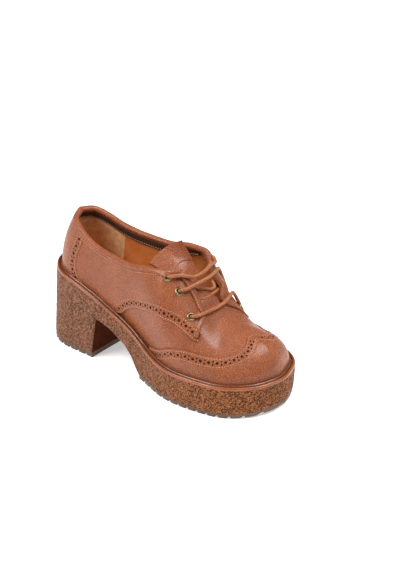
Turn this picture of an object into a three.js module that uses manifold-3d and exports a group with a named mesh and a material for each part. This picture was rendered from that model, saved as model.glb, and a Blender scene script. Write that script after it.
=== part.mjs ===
// Womens derby shoe on a block heel and a platform: the right shoe of a pair.
// Millimetres. +X runs from heel to toe, +Y to the inner side of the foot, +Z up.
// The heel bottom starts at x = 0 and the tread stands on z = 0; the group then centres it.
import * as THREE from 'three';
import { mergeVertices } from 'three/addons/utils/BufferGeometryUtils.js';
import Module from 'manifold-3d';

const wasm = await Module();
wasm.setup();

// Driving sizes of the shoe
const LENGTH = 248;
const BALL_WIDTH = 98;
const HEEL_SEAT = 71.5;
const PLATFORM = 28.5;
const INSTEP = 80;
const TREAD = 4.5;
const LUG_DEPTH = 2.4;
const LUG_PITCH = 9;
const GROOVE = 3.2;
const TOE_SPRING = 2.5;
const HEEL_BACK_FLARE = 4;
const HEEL_SIDE_FLARE = 1.5;
const PLATFORM_TUCK = 2;
const WELT_WIDTH = 6;
const WELT_RISE = 3.2;
const WALL = 2.2;
const OVERLAY = 1.6;
const COUNTER = 2.2;
const TONGUE = 2;
const INSOLE = 3;
const BINDING_WIDTH = 5.6;
const BINDING_HEIGHT = 5.2;
const FACING_FLARE = 5.2;
const FLAP_LENGTH = 23;
const EYELET_BORE = 3.6;
const EYELET_FLANGE = 8.2;
const EYELET_WALL = 0.6;
const EYELET_SEAT = 0.7;
const CORD = 3.1;
const SEAM = 0.3;
const OVERLAY_SEAT = 0.55;

// The last, one row for each station from the heel back (first) to the toe tip (last).
// along, lateral, medial: the rim of the sole. top...: the collar, then the ridge of the vamp.
// Angles in degrees: lean of the wall at the feather, turn above level and sweep at the top.
const LAST = [
  { along: 0.015, lateral: 0.000, medial: 0.000, topAlong: 0.098, topAcross: 0.000, rise: 0.644,
    lean: 2, turn: 58, sweep: -90, low: 0.33, high: 0.33 },
  { along: 0.038, lateral: 0.178, medial: 0.176, topAlong: 0.119, topAcross: 0.122, rise: 0.620,
    lean: 2, turn: 62, sweep: -62, low: 0.33, high: 0.33 },
  { along: 0.104, lateral: 0.316, medial: 0.300, topAlong: 0.166, topAcross: 0.186, rise: 0.568,
    lean: 4, turn: 74, sweep: -30, low: 0.33, high: 0.33 },
  { along: 0.202, lateral: 0.345, medial: 0.322, topAlong: 0.228, topAcross: 0.222, rise: 0.554,
    lean: 6, turn: 78, sweep: -10, low: 0.33, high: 0.33 },
  { along: 0.309, lateral: 0.350, medial: 0.328, topAlong: 0.310, topAcross: 0.248, rise: 0.628,
    lean: 8, turn: 80, sweep: 0, low: 0.33, high: 0.33 },
  { along: 0.416, lateral: 0.360, medial: 0.342, topAlong: 0.408, topAcross: 0.270, rise: 0.753,
    lean: 8, turn: 76, sweep: 0, low: 0.36, high: 0.33 },
  { along: 0.512, lateral: 0.418, medial: 0.372, topAlong: 0.496, topAcross: 0.280, rise: 0.921,
    lean: 6, turn: 64, sweep: 0, low: 0.38, high: 0.33 },
  { along: 0.609, lateral: 0.505, medial: 0.418, topAlong: 0.570, topAcross: 0.200, rise: 1.012,
    lean: 4, turn: 34, sweep: 0, low: 0.40, high: 0.30 },
  { along: 0.705, lateral: 0.530, medial: 0.460, topAlong: 0.597, topAcross: 0.000, rise: 0.956,
    lean: 4, turn: 0, sweep: 0, low: 0.40, high: 0.25 },
  { along: 0.797, lateral: 0.505, medial: 0.482, topAlong: 0.670, topAcross: 0.000, rise: 0.678,
    lean: 4, turn: 6, sweep: 8, low: 0.36, high: 0.29 },
  { along: 0.883, lateral: 0.439, medial: 0.455, topAlong: 0.746, topAcross: 0.000, rise: 0.476,
    lean: 4, turn: 11, sweep: 20, low: 0.34, high: 0.34 },
  { along: 0.954, lateral: 0.286, medial: 0.345, topAlong: 0.810, topAcross: 0.000, rise: 0.414,
    lean: 4, turn: 11, sweep: 45, low: 0.40, high: 0.43 },
  { along: 0.985, lateral: 0.143, medial: 0.205, topAlong: 0.855, topAcross: 0.000, rise: 0.390,
    lean: 4, turn: 9, sweep: 68, low: 0.43, high: 0.42 },
  { along: 1.000, lateral: -0.031, medial: 0.031, topAlong: 0.883, topAcross: 0.000, rise: 0.374,
    lean: 4, turn: 9, sweep: 90, low: 0.46, high: 0.40 },
];

// Top of the sole from heel to toe, as a share of the lift from platform to heel seat
const DECK = [
  { along: 0.000, lift: 1.000 },
  { along: 0.045, lift: 0.988 },
  { along: 0.106, lift: 0.956 },
  { along: 0.248, lift: 0.747 },
  { along: 0.390, lift: 0.421 },
  { along: 0.543, lift: 0.095 },
  { along: 0.695, lift: 0.000 },
  { along: 1.000, lift: 0.000 },
];

// Underside of the waist, from the top of the heel breast to the tread: shares of the heel seat
const WAIST = [
  { along: 0.280, under: 0.573 },
  { along: 0.306, under: 0.554 },
  { along: 0.343, under: 0.515 },
  { along: 0.367, under: 0.471 },
  { along: 0.391, under: 0.420 },
  { along: 0.419, under: 0.361 },
  { along: 0.446, under: 0.259 },
  { along: 0.463, under: 0.159 },
];
const BREAST_FOOT = 0.258;
const TREAD_START = 0.486;
const SPRING_START = 0.87;

// Edges drawn on the last: station is a row of the table above, share runs from feather to top
const CAP_EDGE = [
  { station: 6.25, share: 0.060 },
  { station: 6.75, share: 0.115 },
  { station: 7.40, share: 0.180 },
  { station: 8.00, share: 0.205 },
  { station: 8.60, share: 0.250 },
  { station: 9.05, share: 0.290 },
  { station: 9.70, share: 0.358 },
  { station: 10.15, share: 0.421 },
  { station: 10.58, share: 0.503 },
  { station: 10.90, share: 0.591 },
  { station: 11.28, share: 0.742 },
  { station: 11.48, share: 0.870 },
  { station: 11.60, share: 1.000 },
];
const QUARTER_EDGES = [
  { lowStation: 3.20, low: 0.070, topStation: 2.50, top: 1.000 },
  { lowStation: 3.80, low: 0.065, topStation: 3.20, top: 1.000 },
  { lowStation: 4.40, low: 0.062, topStation: 4.00, top: 1.000 },
  { lowStation: 4.62, low: 0.085, topStation: 4.60, top: 1.000 },
  { lowStation: 4.90, low: 0.226, topStation: 5.10, top: 1.000 },
  { lowStation: 5.28, low: 0.358, topStation: 5.55, top: 1.000 },
  { lowStation: 5.73, low: 0.440, topStation: 6.00, top: 1.000 },
  { lowStation: 6.30, low: 0.480, topStation: 6.50, top: 1.000 },
  { lowStation: 6.90, low: 0.462, topStation: 6.95, top: 0.925 },
  { lowStation: 7.43, low: 0.415, topStation: 7.40, top: 0.925 },
  { lowStation: 7.93, low: 0.380, topStation: 8.08, top: 0.890 },
  { lowStation: 8.40, low: 0.370, topStation: 8.75, top: 0.850 },
  { lowStation: 8.70, low: 0.376, topStation: 9.15, top: 0.795 },
  { lowStation: 8.88, low: 0.392, topStation: 9.28, top: 0.745 },
];
const COUNTER_EDGE = [
  { share: 0.000, station: 3.15 },
  { share: 0.120, station: 2.88 },
  { share: 0.350, station: 2.58 },
  { share: 0.700, station: 2.45 },
  { share: 1.000, station: 2.45 },
];
const THROAT_EDGE = [
  { station: 6.90, share: 0.925 },
  { station: 7.40, share: 0.880 },
  { station: 8.00, share: 0.830 },
  { station: 8.60, share: 0.795 },
  { station: 9.20, share: 0.740 },
];
const COLLAR_END = 6.9;
const THROAT_ROOT = 9.2;
const THROAT_SHIFT = 0.18;
const EYELET_SHIFT = 0.15;
const QUARTER_SHIFT = 0.07;
const EYELETS = [
  { station: 7.22, share: 0.840 },
  { station: 8.02, share: 0.655 },
  { station: 8.62, share: 0.560 },
];

// Derived values shared by the pieces
const ROWS = LAST.length - 1;
const LOOP = 2 * ROWS;
const RIDGE_START = 8;
const RIDGE_ROUND = 0.2;
const INNER_SLIM = 0.3;
const UPPER_INSET = WELT_WIDTH + 2 * SEAM;
const SHOE_DEPTH = 4 * BALL_WIDTH;
const QUARTER_OUTER = OVERLAY_SEAT + OVERLAY;

const mix = (a, b, t) => a + (b - a) * t;
const clamp = (value, low, high) => Math.min(high, Math.max(low, value));
const radians = (degrees) => degrees * Math.PI / 180;

function smooth(low, high, value) {
  const t = clamp((value - low) / (high - low), 0, 1);
  return t * t * (3 - 2 * t);
}

// A curve through table values that never overshoots them
function monotone(xs, ys) {
  const count = xs.length;
  const steps = xs.slice(1).map((x, k) => x - xs[k]);
  const rates = steps.map((step, k) => (ys[k + 1] - ys[k]) / step);
  const slopes = new Array(count).fill(0);
  for (let k = 1; k < count - 1; k += 1) {
    if (rates[k - 1] * rates[k] > 0) {
      const before = 2 * steps[k] + steps[k - 1];
      const after = steps[k] + 2 * steps[k - 1];
      slopes[k] = (before + after) / (before / rates[k - 1] + after / rates[k]);
    }
  }
  slopes[0] = rates[0];
  slopes[count - 1] = rates[count - 2];
  return (x) => {
    const at = clamp(x, xs[0], xs[count - 1]);
    let k = 0;
    while (k < count - 2 && at > xs[k + 1]) {
      k += 1;
    }
    const t = (at - xs[k]) / steps[k];
    const rise = ys[k + 1] - ys[k];
    const a = slopes[k] * steps[k];
    const b = slopes[k + 1] * steps[k];
    return ys[k] + t * (a + t * (3 * rise - 2 * a - b + t * (a + b - 2 * rise)));
  };
}

function tableCurve(table, key, value) {
  return monotone(table.map((row) => row[key]), table.map((row) => row[value]));
}

// A closed curve with smooth curvature through a loop of values at whole numbers
function closedCurve(values) {
  const count = values.length;
  const slopes = new Array(count).fill(0);
  for (let round = 0; round < 60; round += 1) {
    for (let k = 0; k < count; k += 1) {
      const before = (k + count - 1) % count;
      const after = (k + 1) % count;
      const pull = 3 * (values[after] - values[before]);
      slopes[k] = (pull - slopes[before] - slopes[after]) / 4;
    }
  }
  const place = (j) => {
    const at = ((j % count) + count) % count;
    const k = Math.floor(at);
    return [k, (k + 1) % count, at - k];
  };
  return {
    value(j) {
      const [k, next, t] = place(j);
      const rise = values[next] - values[k];
      const a = slopes[k];
      const b = slopes[next];
      return values[k] + t * (a + t * (3 * rise - 2 * a - b + t * (a + b - 2 * rise)));
    },
    slope(j) {
      const [k, next, t] = place(j);
      const rise = values[next] - values[k];
      const a = slopes[k];
      const b = slopes[next];
      return a + t * (2 * (3 * rise - 2 * a - b) + 3 * t * (a + b - 2 * rise));
    },
  };
}

// The rim of the sole as a loop: outer side from heel to toe, then the inner side back
const lateralRim = LAST.map((row) => [row.along * LENGTH, -row.lateral * BALL_WIDTH]);
const medialRim = LAST.slice(1, ROWS).map((row) => [row.along * LENGTH, row.medial * BALL_WIDTH]);
const rim = lateralRim.concat(medialRim.reverse());
const rimX = closedCurve(rim.map((point) => point[0]));
const rimY = closedCurve(rim.map((point) => point[1]));

function inward(j) {
  const dx = rimX.slope(j);
  const dy = rimY.slope(j);
  const size = Math.hypot(dx, dy);
  return [-dy / size, dx / size];
}

function outline(j, inset) {
  const [nx, ny] = inward(j);
  return [rimX.value(j) + nx * inset, rimY.value(j) + ny * inset];
}

const liftAt = tableCurve(DECK, 'along', 'lift');
const deck = (x) => mix(PLATFORM, HEEL_SEAT, liftAt(x / LENGTH));
const spring = (x) => TOE_SPRING * clamp((x / LENGTH - SPRING_START) / (1 - SPRING_START), 0, 1) ** 2;

// The last's surface: a cubic from the feather to the top line at every place of the loop
const stations = LAST.map((row, k) => k);
const lastColumn = (values) => monotone(stations, values);
const topX = lastColumn(LAST.map((row) => row.topAlong * LENGTH));
const topY = lastColumn(LAST.map((row) => row.topAcross * BALL_WIDTH));
const topZ = lastColumn(LAST.map((row) => deck(row.along * LENGTH) + row.rise * INSTEP));
const leanAt = lastColumn(LAST.map((row) => radians(row.lean)));
const turnAt = lastColumn(LAST.map((row) => radians(row.turn)));
const sweepAt = lastColumn(LAST.map((row) => radians(row.sweep)));
const lowAt = lastColumn(LAST.map((row) => row.low));
const highAt = lastColumn(LAST.map((row) => row.high));

const wrap = (j) => ((j % LOOP) + LOOP) % LOOP;
const stationOf = (j) => (wrap(j) <= ROWS ? wrap(j) : LOOP - wrap(j));
const sideOf = (j) => (wrap(j) <= ROWS ? -1 : 1);

function sidePoint(j, share) {
  const station = stationOf(j);
  const side = sideOf(j);
  const [footX, footY] = outline(j, UPPER_INSET);
  const [nx, ny] = inward(j);
  const foot = new THREE.Vector3(footX, footY, deck(footX) + 2 * SEAM);
  const top = new THREE.Vector3(topX(station), side * topY(station), topZ(station));
  const reach = foot.distanceTo(top);
  const lean = leanAt(station);
  const turn = turnAt(station);
  const sweep = sweepAt(station);
  const up = new THREE.Vector3(-nx * Math.sin(lean), -ny * Math.sin(lean), Math.cos(lean));
  const across = -side * Math.cos(sweep) * Math.cos(turn);
  const arrive = new THREE.Vector3(-Math.sin(sweep) * Math.cos(turn), across, Math.sin(turn));
  const slim = side > 0
    ? 1 - INNER_SLIM * smooth(7.2, 8.4, station) * (1 - smooth(9.3, 10.6, station))
    : 1;
  const first = foot.clone().addScaledVector(up, lowAt(station) * slim * reach);
  const second = top.clone().addScaledVector(arrive, -highAt(station) * slim * reach);
  const curve = new THREE.CubicBezierCurve3(foot, first, second, top);
  return curve.getPoint(share);
}

// The two sides meet along the ridge, which is rounded over from one to the other
const roundingAt = (station) => RIDGE_ROUND * smooth(RIDGE_START, THROAT_ROOT, station);
function lastPoint(j, share) {
  const rounding = roundingAt(stationOf(j));
  const start = 1 - rounding;
  if (share <= start || rounding < 0.001) {
    return sidePoint(j, share);
  }
  const step = 0.001;
  const reach = rounding / step * 2 / 3;
  const near = sidePoint(j, start);
  const far = sidePoint(LOOP - wrap(j), start);
  const rise = near.clone().sub(sidePoint(j, start - step));
  const fall = far.clone().sub(sidePoint(LOOP - wrap(j), start - step));
  const first = near.clone().addScaledVector(rise, reach);
  const second = far.clone().addScaledVector(fall, reach);
  const bridge = new THREE.CubicBezierCurve3(near, first, second, far);
  return bridge.getPoint((share - start) / (2 * rounding));
}

function lastNormal(j, share) {
  const step = 0.001;
  const nearToe = Math.abs(wrap(j) - ROWS) < 2 * step;
  const at = nearToe ? ROWS - 4 * step : j;
  const low = Math.max(share - step, 0);
  const high = Math.min(share + step, 1 + Math.min(step, roundingAt(stationOf(j))));
  const along = lastPoint(at + step, share).sub(lastPoint(at - step, share));
  const upward = lastPoint(at, high).sub(lastPoint(at, low));
  const normal = along.cross(upward);
  if (nearToe && share > 1 - step) {
    normal.y = 0;
  }
  return normal.normalize();
}

// The open throat lies to the inner side, where its edge sits lower on the last
const throatAt = tableCurve(THROAT_EDGE, 'station', 'share');
function innerShift(j) {
  const station = stationOf(j);
  const shift = smooth(COLLAR_END, 7.8, station) * (1 - smooth(8.5, THROAT_ROOT, station));
  return sideOf(j) > 0 ? shift : 0;
}

// The open facings stand off the last towards their front edge, most on the inner side
function facingLift(j, share) {
  const station = stationOf(j);
  const along = smooth(COLLAR_END - 1, 8.2, station) * (1 - smooth(8.4, THROAT_ROOT, station));
  const rise = sideOf(j) > 0
    ? smooth(0.3, mix(1, 0.8, innerShift(j)), share)
    : smooth(0.3, 1, share) / 4;
  return FACING_FLARE * along * rise;
}

function skin(j, share, offset) {
  const normal = lastNormal(j, share);
  return lastPoint(j, share).addScaledVector(normal, offset + facingLift(j, share));
}

function skinNormal(j, share) {
  const step = 0.01;
  const along = skin(j + step, share, 0).sub(skin(j - step, share, 0));
  const upward = skin(j, share + step, 0).sub(skin(j, share - step, 0));
  return along.cross(upward).normalize();
}

// Share of the way up at which the skin ends below the collar's top line
function collarShare(j, drop) {
  const top = lastPoint(j, 1);
  let share = 1;
  while (lastPoint(j, share).distanceTo(top) < drop) {
    share -= 0.002;
  }
  return share;
}

const BINDING_SEAT = BINDING_HEIGHT + SEAM;
const edgeShare = (j) => {
  const station = stationOf(j);
  if (station <= COLLAR_END) {
    return collarShare(j, BINDING_SEAT);
  }
  const throat = throatAt(station) - THROAT_SHIFT * innerShift(j);
  return Math.min(throat, collarShare(COLLAR_END, BINDING_SEAT));
};

// Closed body from vertices and faces whose corners run anticlockwise seen from outside
function body(points, faces) {
  const geometry = new THREE.BufferGeometry();
  const flat = points.flatMap((point) => [point.x, point.y, point.z]);
  const triangles = faces.flatMap((face) => {
    if (face.length === 3) {
      return face;
    }
    const [a, b, c, d] = face;
    const across = points[a].distanceTo(points[c]) <= points[b].distanceTo(points[d]);
    return across ? [a, b, c, a, c, d] : [a, b, d, b, c, d];
  });
  geometry.setAttribute('position', new THREE.Float32BufferAttribute(flat, 3));
  geometry.setIndex(triangles);
  return geometry;
}

// Two skins over the same net of faces, joined along every free edge
function thicken(outer, inner, faces) {
  const count = outer.length;
  const used = new Map();
  faces.forEach((face) => face.forEach((corner, k) => {
    used.set(`${corner} ${face[(k + 1) % face.length]}`, [corner, face[(k + 1) % face.length]]);
  }));
  const walls = [];
  used.forEach(([from, to]) => {
    if (!used.has(`${to} ${from}`)) {
      walls.push([to, from, from + count, to + count]);
    }
  });
  const back = faces.map((face) => face.map((corner) => corner + count).reverse());
  return body(outer.concat(inner), faces.concat(back, walls));
}

// A sheet of leather between two offsets of the last: at(a, b) gives loop place and share
function sheet(columns, rows, at, outerOffset, innerOffset) {
  const outer = [];
  const inner = [];
  const faces = [];
  for (let a = 0; a <= columns; a += 1) {
    for (let b = 0; b <= rows; b += 1) {
      const [j, share] = at(a / columns, b / rows);
      outer.push(skin(j, share, outerOffset));
      inner.push(skin(j, share, innerOffset));
    }
  }
  for (let a = 0; a < columns; a += 1) {
    for (let b = 0; b < rows; b += 1) {
      const k = a * (rows + 1) + b;
      faces.push([k, k + rows + 1, k + rows + 2, k + 1]);
    }
  }
  return thicken(outer, inner, faces);
}

// Section loops joined one after the next, closed by flat ends or into a ring
function loft(loops, ring) {
  const size = loops[0].length;
  const points = loops.flat();
  const faces = [];
  const spans = ring ? loops.length : loops.length - 1;
  for (let s = 0; s < spans; s += 1) {
    const here = s * size;
    const there = ((s + 1) % loops.length) * size;
    for (let k = 0; k < size; k += 1) {
      const next = (k + 1) % size;
      faces.push([here + k, here + next, there + next, there + k]);
    }
  }
  if (!ring) {
    [0, loops.length - 1].forEach((s, end) => {
      const centre = new THREE.Vector3();
      loops[s].forEach((point) => centre.addScaledVector(point, 1 / size));
      points.push(centre);
      for (let k = 0; k < size; k += 1) {
        const pair = [s * size + k, s * size + (k + 1) % size];
        faces.push(end ? [...pair, points.length - 1] : [...pair.reverse(), points.length - 1]);
      }
    });
  }
  return body(points, faces);
}

// Boolean work on closed geometry
function solid(geometry) {
  const bare = geometry.clone();
  bare.deleteAttribute('normal');
  bare.deleteAttribute('uv');
  const merged = mergeVertices(bare, 1e-4);
  const mesh = new wasm.Mesh({
    numProp: 3,
    vertProperties: Float32Array.from(merged.attributes.position.array),
    triVerts: Uint32Array.from(merged.index.array),
  });
  return new wasm.Manifold(mesh);
}

function geometryOf(manifold) {
  const mesh = manifold.getMesh();
  const geometry = new THREE.BufferGeometry();
  geometry.setAttribute('position', new THREE.BufferAttribute(mesh.vertProperties, 3));
  geometry.setIndex(new THREE.BufferAttribute(mesh.triVerts, 1));
  return geometry;
}

// A side profile drawn in x and z, as a slab across the whole shoe
function slab(profile) {
  const shape = new THREE.Shape(profile.map(([x, z]) => new THREE.Vector2(x, z)));
  const geometry = new THREE.ExtrudeGeometry(shape, { depth: SHOE_DEPTH, bevelEnabled: false });
  geometry.rotateX(Math.PI / 2);
  geometry.translate(0, SHOE_DEPTH / 2, 0);
  return geometry;
}

const RIM_STEPS = 80;
const rimPlaces = Array.from({ length: RIM_STEPS }, (unused, k) => k * LOOP / RIM_STEPS);

// Upright loft over the outline: the wall leans so that it meets the rim at the deck
function wallLoft(inset, bottom, top, splayed) {
  const loops = [bottom, top].map((z) => rimPlaces.map((j) => {
    const [x] = outline(j, inset);
    const [nx] = inward(j);
    const heel = 1 - smooth(0.3, 0.5, x / LENGTH);
    const heelFlare = mix(HEEL_SIDE_FLARE, HEEL_BACK_FLARE, clamp(nx, 0, 1));
    const splay = splayed ? mix(-PLATFORM_TUCK, heelFlare, heel) : 0;
    const [px, py] = outline(j, inset - splay * (1 - z / deck(x)));
    return new THREE.Vector3(px, py, z);
  }));
  return loft(loops, false);
}

const DECK_STEPS = 48;
const deckLine = (from, to, rise) => Array.from({ length: DECK_STEPS + 1 }, (unused, k) => {
  const x = mix(from, to, k / DECK_STEPS);
  return [x, deck(clamp(x, 0, LENGTH)) + rise];
});
const OVERRUN = 10;
const wall = solid(wallLoft(0, -1, HEEL_SEAT + OVERRUN, true));

// Where the sole lifts off the ground towards the toe tip
const SPRING_STEPS = 4;
const springLine = (rise) => Array.from({ length: SPRING_STEPS + 1 }, (unused, k) => {
  const x = mix(SPRING_START, 1, k / SPRING_STEPS) * LENGTH;
  return [x, rise + spring(x)];
}).concat([[LENGTH + OVERRUN, rise + TOE_SPRING]]);

// Moulded unit of platform and block heel in one, arched between the two
function soleUnit() {
  const ground = TREAD + SEAM;
  const under = WAIST.map((row) => [row.along * LENGTH, row.under * HEEL_SEAT]);
  const profile = [
    [-OVERRUN, ground],
    [BREAST_FOOT * LENGTH, ground],
    ...under,
    [TREAD_START * LENGTH - 1, ground],
    ...springLine(ground),
    ...deckLine(-OVERRUN, LENGTH + OVERRUN, 0).reverse(),
  ];
  return geometryOf(wall.intersect(solid(slab(profile))));
}

// A tread plate with lugs across it, between two places along the shoe
function treadPlate(from, to) {
  const count = Math.max(1, Math.round((to - from + GROOVE) / LUG_PITCH));
  const pitch = (to - from + GROOVE) / count;
  const profile = [];
  for (let k = 0; k < count; k += 1) {
    const start = from + k * pitch;
    const end = start + pitch - GROOVE;
    profile.push([start, spring(start)], [end, spring(end)]);
    if (k < count - 1) {
      const floor = start + pitch;
      profile.push([end, LUG_DEPTH + spring(end)], [floor, LUG_DEPTH + spring(floor)]);
    }
  }
  const top = springLine(TREAD).filter(([x]) => x < to);
  profile.push([to, TREAD + spring(to)], ...top.reverse(), [from, TREAD]);
  return geometryOf(wall.intersect(solid(slab(profile))));
}

// Welt: an outer lip, a groove and the bead against the upper. inset and height are shares.
const WELT_SECTION = [
  { inset: 0.02, height: 0.00 },
  { inset: 0.00, height: 0.62 },
  { inset: 0.12, height: 0.92 },
  { inset: 0.34, height: 0.92 },
  { inset: 0.46, height: 0.48 },
  { inset: 0.56, height: 0.46 },
  { inset: 0.68, height: 0.92 },
  { inset: 0.88, height: 1.00 },
  { inset: 1.00, height: 0.70 },
  { inset: 1.00, height: 0.00 },
];
function welt() {
  const loops = rimPlaces.map((j) => WELT_SECTION.map((corner) => {
    const [x, y] = outline(j, corner.inset * WELT_WIDTH);
    return new THREE.Vector3(x, y, deck(x) + SEAM + corner.height * WELT_RISE);
  }).reverse());
  return loft(loops, true);
}

function insole() {
  const inset = UPPER_INSET + WALL + 2 * SEAM;
  const line = deckLine(0, LENGTH, 0);
  const profile = [
    ...line.map(([x, z]) => [x, z + SEAM]),
    ...line.reverse().map(([x, z]) => [x, z + SEAM + INSOLE]),
  ];
  const plan = solid(wallLoft(inset, -1, HEEL_SEAT + OVERRUN, false));
  return geometryOf(plan.intersect(solid(slab(profile))));
}

// Holes for the eyelets, bored along the normal of the facing
const eyeletPlaces = ['lateral', 'medial'].flatMap((name) => EYELETS.map((row, k) => {
  const j = name === 'lateral' ? row.station : LOOP - row.station;
  return { name: `eyelet_${name}_${k + 1}`, j, share: row.share - EYELET_SHIFT * innerShift(j) };
}));
const UP = new THREE.Vector3(0, 1, 0);

function placed(geometry, place, offset) {
  const normal = skinNormal(place.j, place.share);
  const turn = new THREE.Quaternion().setFromUnitVectors(UP, normal);
  geometry.applyQuaternion(turn);
  const seat = skin(place.j, place.share, 0).addScaledVector(normal, offset);
  geometry.translate(seat.x, seat.y, seat.z);
  return geometry;
}

const HOLE_SIDES = 12;
const FACING_DEPTH = WALL + QUARTER_OUTER;
function boreEyelets(geometry) {
  let result = solid(geometry);
  const radius = EYELET_BORE / 2 + EYELET_WALL + SEAM;
  eyeletPlaces.forEach((place) => {
    const drill = new THREE.CylinderGeometry(radius, radius, 4 * FACING_DEPTH, HOLE_SIDES);
    result = result.subtract(solid(placed(drill, place, 0)));
  });
  return geometryOf(result);
}

// Upper: vamp and lining of the quarters as one hollow shell, open at collar, throat and below
const SIDE_STEPS = 34;
const RISE_STEPS = 7;
const RIDGE_STEPS = 3;
function upper() {
  const root = Math.round(SIDE_STEPS * THROAT_ROOT / ROWS);
  const places = Array.from({ length: SIDE_STEPS + 1 }, (unused, k) => (k <= root
    ? mix(0, THROAT_ROOT, k / root)
    : mix(THROAT_ROOT, ROWS, (k - root) / (SIDE_STEPS - root))));
  const outer = [];
  const inner = [];
  const seen = new Map();
  const vertex = (column, row) => {
    const full = row === RISE_STEPS + RIDGE_STEPS;
    const shared = full && column > SIDE_STEPS ? 2 * SIDE_STEPS - column : column;
    const key = `${shared % (2 * SIDE_STEPS)} ${row}`;
    if (!seen.has(key)) {
      const j = shared <= SIDE_STEPS ? places[shared] : LOOP - places[2 * SIDE_STEPS - shared];
      const edge = edgeShare(j);
      const above = Math.max(0, row - RISE_STEPS) / RIDGE_STEPS;
      const share = mix(edge * Math.min(1, row / RISE_STEPS), 1, above);
      seen.set(key, outer.length);
      outer.push(skin(j, share, 0));
      inner.push(skin(j, share, -WALL));
    }
    return seen.get(key);
  };
  const faces = [];
  for (let column = 0; column < 2 * SIDE_STEPS; column += 1) {
    const front = column >= root && column < 2 * SIDE_STEPS - root;
    const rows = front ? RISE_STEPS + RIDGE_STEPS : RISE_STEPS;
    for (let row = 0; row < rows; row += 1) {
      faces.push([vertex(column, row), vertex(column + 1, row),
        vertex(column + 1, row + 1), vertex(column, row + 1)]);
    }
  }
  return boreEyelets(thicken(outer, inner, faces));
}

// Lowest share at which an overlay clears the welt's bead
function beadShare(j) {
  let share = 0;
  const floor = (point) => point.z - deck(point.x);
  while (floor(lastPoint(j, share)) < WELT_RISE + 3 * SEAM) {
    share += 0.004;
  }
  return share;
}

// Wing cap over the toe, peaked on the ridge
const capAt = tableCurve(CAP_EDGE, 'station', 'share');
const CAP_START = CAP_EDGE[0].station;
const CAP_PEAK = CAP_EDGE[CAP_EDGE.length - 1].station;
function wingCap() {
  const steps = 23;
  const peakStep = 14;
  const rows = 6;
  const places = Array.from({ length: steps + 1 }, (unused, k) => (
    k <= peakStep
      ? mix(CAP_START, CAP_PEAK, k / peakStep)
      : mix(CAP_PEAK, ROWS, (k - peakStep) / (steps - peakStep))));
  const outer = [];
  const inner = [];
  const seen = new Map();
  const vertex = (column, row) => {
    const peak = column >= peakStep && column <= 2 * steps - peakStep && row === rows;
    const shared = peak && column > steps ? 2 * steps - column : column;
    const key = `${shared} ${row}`;
    if (!seen.has(key)) {
      const station = places[shared <= steps ? shared : 2 * steps - shared];
      const j = shared <= steps ? station : LOOP - station;
      const low = beadShare(j);
      const high = Math.max(station >= CAP_PEAK ? 1 : capAt(station), low + 0.03);
      const share = mix(low, high, row / rows);
      seen.set(key, outer.length);
      outer.push(skin(j, share, QUARTER_OUTER));
      inner.push(skin(j, share, OVERLAY_SEAT));
    }
    return seen.get(key);
  };
  const faces = [];
  for (let column = 0; column < 2 * steps; column += 1) {
    for (let row = 0; row < rows; row += 1) {
      faces.push([vertex(column, row), vertex(column + 1, row),
        vertex(column + 1, row + 1), vertex(column, row + 1)]);
    }
  }
  return thicken(outer, inner, faces);
}

// Heel counter wrapped round the back
const counterAt = tableCurve(COUNTER_EDGE, 'share', 'station');
function counter() {
  return sheet(16, 6, (a, b) => {
    const j = mix(-1, 1, a) * counterAt(b);
    return [j, mix(beadShare(j), collarShare(j, BINDING_SEAT), b)];
  }, OVERLAY_SEAT + COUNTER, OVERLAY_SEAT);
}

// Quarter with its facing: from the counter to the tip beside the throat
const quarterRows = QUARTER_EDGES.map((row, k) => k);
const quarterColumn = (key) => monotone(quarterRows, QUARTER_EDGES.map((row) => row[key]));
const lowStationAt = quarterColumn('lowStation');
const lowShareAt = quarterColumn('low');
const topStationAt = quarterColumn('topStation');
const topShareAt = quarterColumn('top');
const COUNTER_GAP = 0.035;
function quarter(side) {
  const geometry = sheet(24, 6, (step, b) => {
    const a = side < 0 ? step : 1 - step;
    const row = a * (QUARTER_EDGES.length - 1);
    const lowStation = lowStationAt(row);
    const topStation = topStationAt(row);
    const rear = (1 - smooth(0, 0.3, a)) * (counterAt(b) + COUNTER_GAP - mix(lowStation, topStation, b));
    const station = mix(lowStation, topStation, b) + rear;
    const onSide = (at) => (side < 0 ? at : LOOP - at);
    const j = onSide(station);
    const low = lowShareAt(row) - QUARTER_SHIFT * innerShift(onSide(lowStation));
    const top = topShareAt(row) - THROAT_SHIFT * innerShift(onSide(topStation));
    const collar = station <= COLLAR_END ? collarShare(j, BINDING_SEAT) : 1;
    return [j, mix(Math.max(low, beadShare(j)), Math.min(top, collar), b)];
  }, QUARTER_OUTER, OVERLAY_SEAT);
  return boreEyelets(geometry);
}

// Rolled binding along the collar's edge, from facing to facing round the heel
const BINDING_SECTION = [
  { out: 1.00, down: 1.00 },
  { out: 1.00, down: 0.45 },
  { out: 0.80, down: 0.14 },
  { out: 0.35, down: 0.00 },
  { out: -0.35, down: 0.00 },
  { out: -0.80, down: 0.14 },
  { out: -1.00, down: 0.45 },
  { out: -1.00, down: 1.00 },
];
function collarBinding() {
  const steps = 46;
  const middle = (QUARTER_OUTER - WALL) / 2;
  const loops = [];
  for (let k = 0; k <= steps; k += 1) {
    const j = mix(COLLAR_END, -COLLAR_END, k / steps);
    const top = skin(j, 1, 0);
    const down = skin(j, 0.96, 0).sub(top).normalize();
    const normal = lastNormal(j, 0.98);
    loops.push(BINDING_SECTION.map((corner) => top.clone()
      .addScaledVector(normal, middle + corner.out * BINDING_WIDTH / 2)
      .addScaledVector(down, corner.down * BINDING_HEIGHT)));
  }
  return loft(loops, false);
}

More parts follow.
